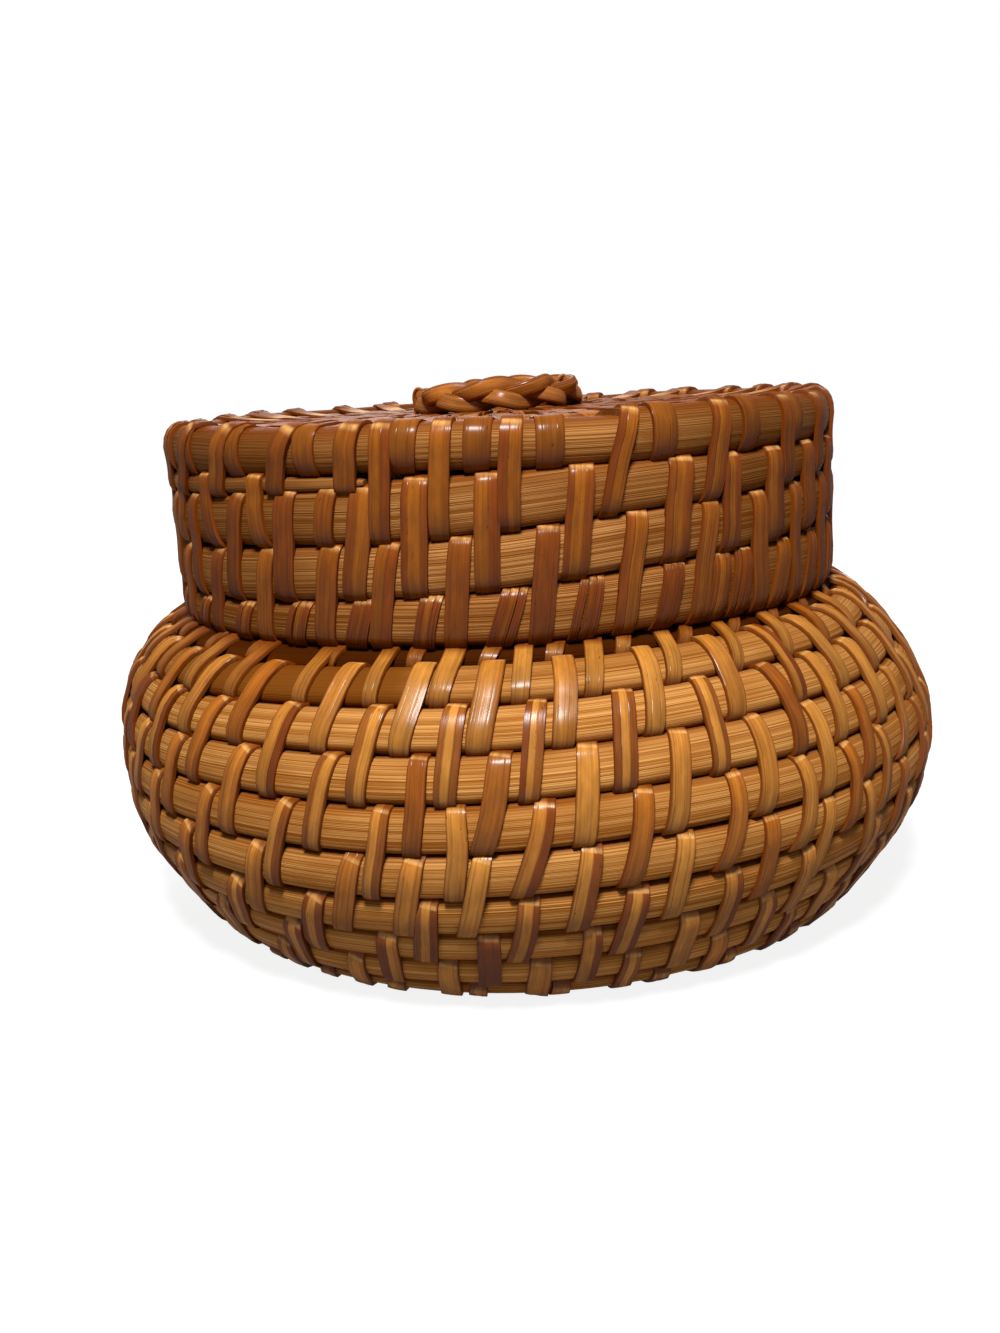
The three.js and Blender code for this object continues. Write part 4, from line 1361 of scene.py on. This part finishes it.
class BASKET_OT_lid_stitches(bpy.types.Operator):
    """Binds the rows of the lid with cane."""

    bl_idname = "basket.lid_stitches"
    bl_label = "Lid stitches"

    def bind_top(self, rng, finish):
        coil = lid_top_coil()
        last = tall_span(coil)[1] + PAST_LAST
        grids = bind_evenly(
            rng, coil, LID_SPACING, FIRST_STITCH, last, begins=0.3, width=TOP_WIDTH, styles="yggaarlb"
        )
        finish_piece(grids, "lid_top_stitches", finish, STRIP_SHARP)

    def outer_top_row(self, coil, at_angle):
        """The turn of the lid's top whose row lies next to the edge at an angle."""
        last = tall_span(coil)[1]
        turn = last - ((coil.angle(last) - at_angle) / coil.way / FULL_TURN) % 1
        return turn if coil.is_tall(turn, 0.45) else turn - 1

    def turn_of_hoop(self, hoop, at_angle):
        return max(((at_angle - hoop.start) / FULL_TURN) % 1, PAST_JOIN)

    def bind_edge(self, rng, finish):
        """Strips over the lid's edge, from the top's outer row down to the foot of the hoop."""
        hoop, top = hoop_coil(), lid_top_coil()
        up_and_in = unit(np.array([-0.4, 1.0]))
        grids = Grids()
        seen = seen_turns({0: EDGE_STITCHES}, way=1)
        first = min(seen)
        for place_round in filled(seen, lambda turn: 1 / EDGE_STRIPS, first, first + 1, rng):
            at_angle = FRONT + FULL_TURN * place_round
            on_hoop = self.turn_of_hoop(hoop, at_angle)
            rows = [(top, self.outer_top_row(top, at_angle)), (hoop, on_hoop)]
            stitch = seen.get(place_round, (0, None))[1]
            lean, style = lean_and_style(rng, hoop, on_hoop, stitch, 0.8 * MM, "yyggar")
            add_stitch(grids, rows, at_angle, Strip(rng, EDGE_WIDTH, lean, style), up=up_and_in)
        finish_piece(grids, "lid_edge_stitches", finish, STRIP_SHARP)

    def skirt_rows(self, coil, hoop, turn):
        """The rows that a strip of the skirt binds. The first row's thin end has few rows to bind."""
        above = (hoop, self.turn_of_hoop(hoop, coil.angle(turn)))
        if turn > 1 and coil.is_tall(turn - 1, SKIRT_TALL):
            above = (coil, turn - 1)
        if not coil.is_tall(turn, SKIRT_TALL):
            return [above]
        if OWN_ROW_ALONE[0] < turn < OWN_ROW_ALONE[1]:
            return [(coil, turn)]
        return [above, (coil, turn)]

    def bind_skirt(self, rng, finish):
        """Strips down the skirt, which bow away from the front on its left."""
        coil, hoop = skirt_coil(), hoop_coil()
        seen = seen_turns(SKIRT_STITCHES, way=-1)
        last = tall_span(coil, SKIRT_CAD_TALL)[1]
        groups = {"upper": Grids(), "lower": Grids()}
        for turn in filled(seen, spacing_on(coil, LID_SPACING), 0.06, last, rng):
            row, stitch = seen.get(turn, (min(3, math.floor(turn + 0.3)), None))
            at_angle = coil.angle(turn)
            lean, style = lean_and_style(rng, coil, turn, stitch, 2.6 * MM, "gggaarrlbbd")
            bow = -0.9 * MM * smoothstep(-degrees_right(at_angle), 15, 40)
            strip = Strip(rng, SKIRT_WIDTHS[row], lean, style, bow, SKIRT_LIFTS[row])
            grids = groups["upper" if turn < 1.9 else "lower"]
            add_stitch(grids, self.skirt_rows(coil, hoop, turn), at_angle, strip)
        for name, grids in groups.items():
            finish_piece(grids, f"skirt_{name}_stitches", finish, STRIP_SHARP)

    def wrap_rim(self, rng, finish):
        """Short slanted groups of thin strips round the skirt's lowest row."""
        coil = skirt_coil()
        grids = Grids()
        seen = seen_turns({3: RIM_WRAPS}, way=-1)
        apart = 0.95 * WRAP_WIDTH * MM / LidShape().radius
        for turn in filled(seen, spacing_on(coil, LID_SPACING), *WRAPPED, rng):
            if not coil.is_tall(turn):
                continue
            stitch = seen.get(turn, (3, None))[1]
            lean, outer = lean_and_style(rng, coil, turn, stitch, 3.9 * MM, "d")
            inner = STYLES[rng.choice(["y", "g", "a"])]
            for side, style in ((-1, outer), (0, inner), (1, outer)):
                strip = Strip(rng, WRAP_WIDTH, lean, style)
                add_stitch(grids, [(coil, turn)], coil.angle(turn) + side * apart, strip)
        finish_piece(grids, "rim_wraps", finish, STRIP_SHARP)

    def execute(self, context):
        rng = np.random.default_rng(23)
        look = colours()
        material = cane_material("amber_cane", look.lid_cane, look.lid_cane_amber, coat=0.028)
        finish = Finish("lid", "lid_cane", material)
        self.bind_top(rng, finish)
        self.bind_edge(rng, finish)
        self.bind_skirt(rng, finish)
        self.wrap_rim(rng, finish)
        return {"FINISHED"}


class BASKET_OT_grip(bpy.types.Operator):
    """Plaits the ring on the lid and ties it down."""

    bl_idname = "basket.grip"
    bl_label = "Plaited grip"

    def spine_height(self, at, swing):
        """Height of a strand that peaks sharply. The plait is pressed down, most of all on its left."""
        size = grip_sizes()
        rest = LidShape().top_surface + SEAT_GAP + PLAIT_LIFT
        pressed = 0.62 + 0.12 * np.cos(at) - 0.11 * np.cos(2 * at)
        return rest + size.swing * pressed * (1 + 0.9 * np.sin(swing) - 0.1 * np.sin(3 * swing))

    def strand(self, number, material):
        size = grip_sizes()
        at = np.linspace(0, FULL_TURN, STRAND_STEPS + 1)
        swing = size.turns * at + FULL_TURN * number / size.strands
        spine = place(size.radius + size.weave * np.sin(2 * swing), self.spine_height(at, swing), at)
        tangent = unit(ways_along(spine))
        outward = together(np.cos(at), np.sin(at), 0)
        across = unit(np.cross(tangent, outward))
        across, through = rolled(across, np.cross(across, tangent), -size.twist * np.cos(swing))
        around = np.linspace(0, FULL_TURN, STRAND_SIDES + 1)
        wide = size.strand_width / 2 * squarer(np.cos(around), 0.75)
        thick = size.strand_thickness / 2 * squarer(np.sin(around), 0.85)
        points = swept(spine, across, through, wide, thick)
        walked = at * size.radius * 1.6 / MM
        # Painted shade: darker where a strand dives in under the others, and where it runs low
        shaded_inside = smoothstep(-np.sin(2 * swing), -0.1, 0.9)
        lower = 0.5 - 0.5 * np.sin(swing)
        grids = Grids()
        grids.add(
            points,
            points[0, 0] - spine[0],
            fibre=together(walked[:, None], np.cos(around), 9.0 + 31 * number),
            bands=together(-0.7, 0.55, 0.5),
            tint=together(0.6, 0.5, 0.0),
            depth=together(0.6 * shaded_inside, 1.3 * size.strand_width / MM, 0.38 + 0.5 * lower)[:, None],
        )
        finish = Finish("lid", "plait", material)
        name = f"plait_strand_{number + 1}"
        finish_piece(grids, name, finish, PLAIT_SHARP, f"grip_strand_{number + 1}")

    def plait_section(self, side):
        """Points round the strands where a tie crosses them, a little outside them."""
        size = grip_sizes()
        at = 0 if side > 0 else math.pi
        around = np.linspace(0, FULL_TURN, 25)
        section = together(np.cos(around) * size.strand_thickness, np.sin(around) * size.strand_width)
        sections = []
        for number in range(size.strands):
            swing = size.turns * at + FULL_TURN * number / size.strands
            middle = (side * size.weave * math.sin(2 * swing), float(self.spine_height(at, swing)))
            sections.append(np.array(middle) + section / 2 + 0.15 * MM * unit(section))
        return sections

    def lashing(self, side, name, material):
        """A flat strip over the plait, down through the lid's top and back."""
        bend = 1.5 * MM
        bottom = LidShape().top_bottom - SEAT_GAP - 0.45 * MM
        under_top = arc((0, bottom + bend), bend, 0, FULL_TURN)
        loop = band_round(np.concatenate([under_top] + self.plait_section(side)))
        loop = np.concatenate([loop, loop[:1]])
        middle = np.array([body_sizes().mouth_drift + side * grip_sizes().radius, 0, 0])
        sideways = 0.5 * MM * np.sin(loop[:, 1] / MM)
        spine = middle + together(loop[:, 0], sideways, loop[:, 1])
        right = np.broadcast_to(np.array([0, 1.0, 0]), spine.shape)
        lift = unit(np.cross(right, unit(ways_along(spine))))
        if lift[0] @ (spine[0] - spine.mean(0)) < 0:
            lift = -lift
        across = np.array([-1, -0.9, -0.35, 0.3, 0.9, 1, 0.9, 0, -0.9, -1])
        height = np.array([0, 0.25, 0.45, 0.45, 0.25, 0, -0.35, -0.4, -0.35, 0]) * MM
        grids = Grids()
        grids.add(
            swept(spine, right, lift, TIE_WIDTH / 2 * across, height),
            lift[0],
            fibre=together(walked_along(loop)[:, None] / MM, across, 70.0 + side),
            bands=together(-0.3, 0.35, 0.55),
            tint=together(0.3, 0.7, 0.0),
            depth=together(0.0, 2.7, 0.0),
        )
        finish = Finish("lid", "plait", material)
        finish_piece(grids, f"tie_{name}", finish, PLAIT_SHARP, f"grip_lashing_{name}")

    def execute(self, context):
        look = colours()
        material = cane_material("plait_cane", look.plait, look.plait_deep, coat=0.04)
        for number in range(grip_sizes().strands):
            self.strand(number, material)
        self.lashing(-1, "left", material)
        self.lashing(1, "right", material)
        return {"FINISHED"}


class BASKET_OT_stage(bpy.types.Operator):
    """Sets the pale floor, the soft light and the camera at the photograph's angle."""

    bl_idname = "basket.stage"
    bl_label = "Stage"

    def floor(self):
        """A wide matt floor that shows white but for the basket's shadow, and lights it as a grey one."""
        corners = [(-FLOOR_REACH, -FLOOR_REACH, 0), (FLOOR_REACH, -FLOOR_REACH, 0)]
        corners += [(FLOOR_REACH, FLOOR_REACH, 0), (-FLOOR_REACH, FLOOR_REACH, 0)]
        mesh = bpy.data.meshes.new("floor")
        mesh.from_pydata(corners, [], [(0, 1, 2, 3)])
        floor = added("floor", mesh)
        material, tree = new_material("floor")
        where = node(tree, "ShaderNodeNewGeometry").outputs["Position"]
        away = node(tree, "ShaderNodeVectorMath", {0: where}, operation="LENGTH").outputs["Value"]
        bounce = node(tree, "ShaderNodeBsdfDiffuse", {"Color": LIT_FLOOR})
        matt = node(tree, "ShaderNodeBsdfDiffuse", {"Color": SHADED_FLOOR})
        strength = mapped(tree, away, 0.2, 1.2, 0.87, 1.0)
        glow = node(tree, "ShaderNodeEmission", {"Color": WHITE, "Strength": strength})
        shown = node(tree, "ShaderNodeAddShader", {0: matt.outputs[0], 1: glow.outputs[0]})
        both = self.either(tree, bounce, shown)
        node(tree, "ShaderNodeOutputMaterial", {"Surface": both})
        mesh.materials.append(material)

    def either(self, tree, lighting, seen):
        """The first shader where a ray lights the basket, the second where it shows the stage."""
        inputs = {0: seen_rays(tree), 1: lighting.outputs[0], 2: seen.outputs[0]}
        return node(tree, "ShaderNodeMixShader", inputs).outputs[0]

    def sky(self):
        world = bpy.data.worlds.new("sky")
        world.use_nodes = True
        tree = world.node_tree
        tree.nodes.clear()
        dim = bpy.context.scene.basket_stage.sky
        soft = node(tree, "ShaderNodeBackground", {"Color": WHITE, "Strength": dim})
        white = node(tree, "ShaderNodeBackground", {"Color": WHITE, "Strength": 1.0})
        node(tree, "ShaderNodeOutputWorld", {"Surface": self.either(tree, soft, white)})
        bpy.context.scene.world = world

    def lamp(self, name, place_at, size, power):
        """A round lamp that faces the basket's middle."""
        data = bpy.data.lights.new(name, "AREA")
        data.shape = "DISK"
        data.size = size
        data.energy = power
        lamp = added(name, data)
        lamp.location = place_at
        aim = Vector(np.array([0, 0, 0.05]) - np.array(place_at))
        lamp.rotation_euler = aim.to_track_quat("-Z", "Y").to_euler()

    def camera(self):
        stage = bpy.context.scene.basket_stage
        data = bpy.data.cameras.new("camera")
        data.lens = stage.lens
        data.sensor_width = 36
        data.shift_y = FRAME_SHIFT
        data.clip_start = 0.01
        camera = added("camera", data)
        tilt = Matrix.Rotation(math.pi / 2 - stage.camera_pitch, 4, "X")
        roll = Matrix.Rotation(-stage.camera_roll, 4, "Z")
        place_at = Matrix.Translation((stage.camera_side, -stage.camera_distance, stage.camera_height))
        camera.matrix_world = place_at @ tilt @ roll
        bpy.context.scene.camera = camera

    def execute(self, context):
        self.floor()
        self.sky()
        power = bpy.context.scene.basket_stage.key_power
        self.lamp("key", place_at=(-0.02, -0.37, 0.59), size=0.14, power=power)
        self.lamp("back", place_at=(-0.1, 0.60, 0.42), size=0.50, power=0.55 * power)
        self.camera()
        bpy.context.scene.view_settings.view_transform = "Standard"
        return {"FINISHED"}


class BASKET_PT_sidebar(bpy.types.Panel):
    """Lists the basket's pieces."""

    bl_idname = "BASKET_PT_sidebar"
    bl_label = "Basket"
    bl_space_type = "VIEW_3D"
    bl_region_type = "UI"
    bl_category = "Basket"

    def draw(self, context):
        for operator in OPERATORS:
            self.layout.operator(operator.bl_idname)


SETTINGS = {
    "basket_body": BodySizes,
    "basket_lid": LidSizes,
    "basket_grip": GripSizes,
    "basket_colours": RattanColours,
    "basket_stage": StageSettings,
}
OPERATORS = (
    BASKET_OT_body_rods,
    BASKET_OT_body_stitches,
    BASKET_OT_collar,
    BASKET_OT_lid_rods,
    BASKET_OT_lid_stitches,
    BASKET_OT_grip,
    BASKET_OT_stage,
)


def register():
    for settings in SETTINGS.values():
        bpy.utils.register_class(settings)
    for name, settings in SETTINGS.items():
        setattr(bpy.types.Scene, name, PointerProperty(type=settings))
    for operator in OPERATORS:
        bpy.utils.register_class(operator)
    bpy.utils.register_class(BASKET_PT_sidebar)


def unregister():
    bpy.utils.unregister_class(BASKET_PT_sidebar)
    for operator in reversed(OPERATORS):
        bpy.utils.unregister_class(operator)
    for name in SETTINGS:
        delattr(bpy.types.Scene, name)
    for settings in reversed(list(SETTINGS.values())):
        bpy.utils.unregister_class(settings)


def main():
    register()
    bpy.ops.basket.body_rods()
    bpy.ops.basket.body_stitches()
    bpy.ops.basket.collar()
    bpy.ops.basket.lid_rods()
    bpy.ops.basket.lid_stitches()
    bpy.ops.basket.grip()
    bpy.ops.basket.stage()


if __name__ == "__main__":
    main()
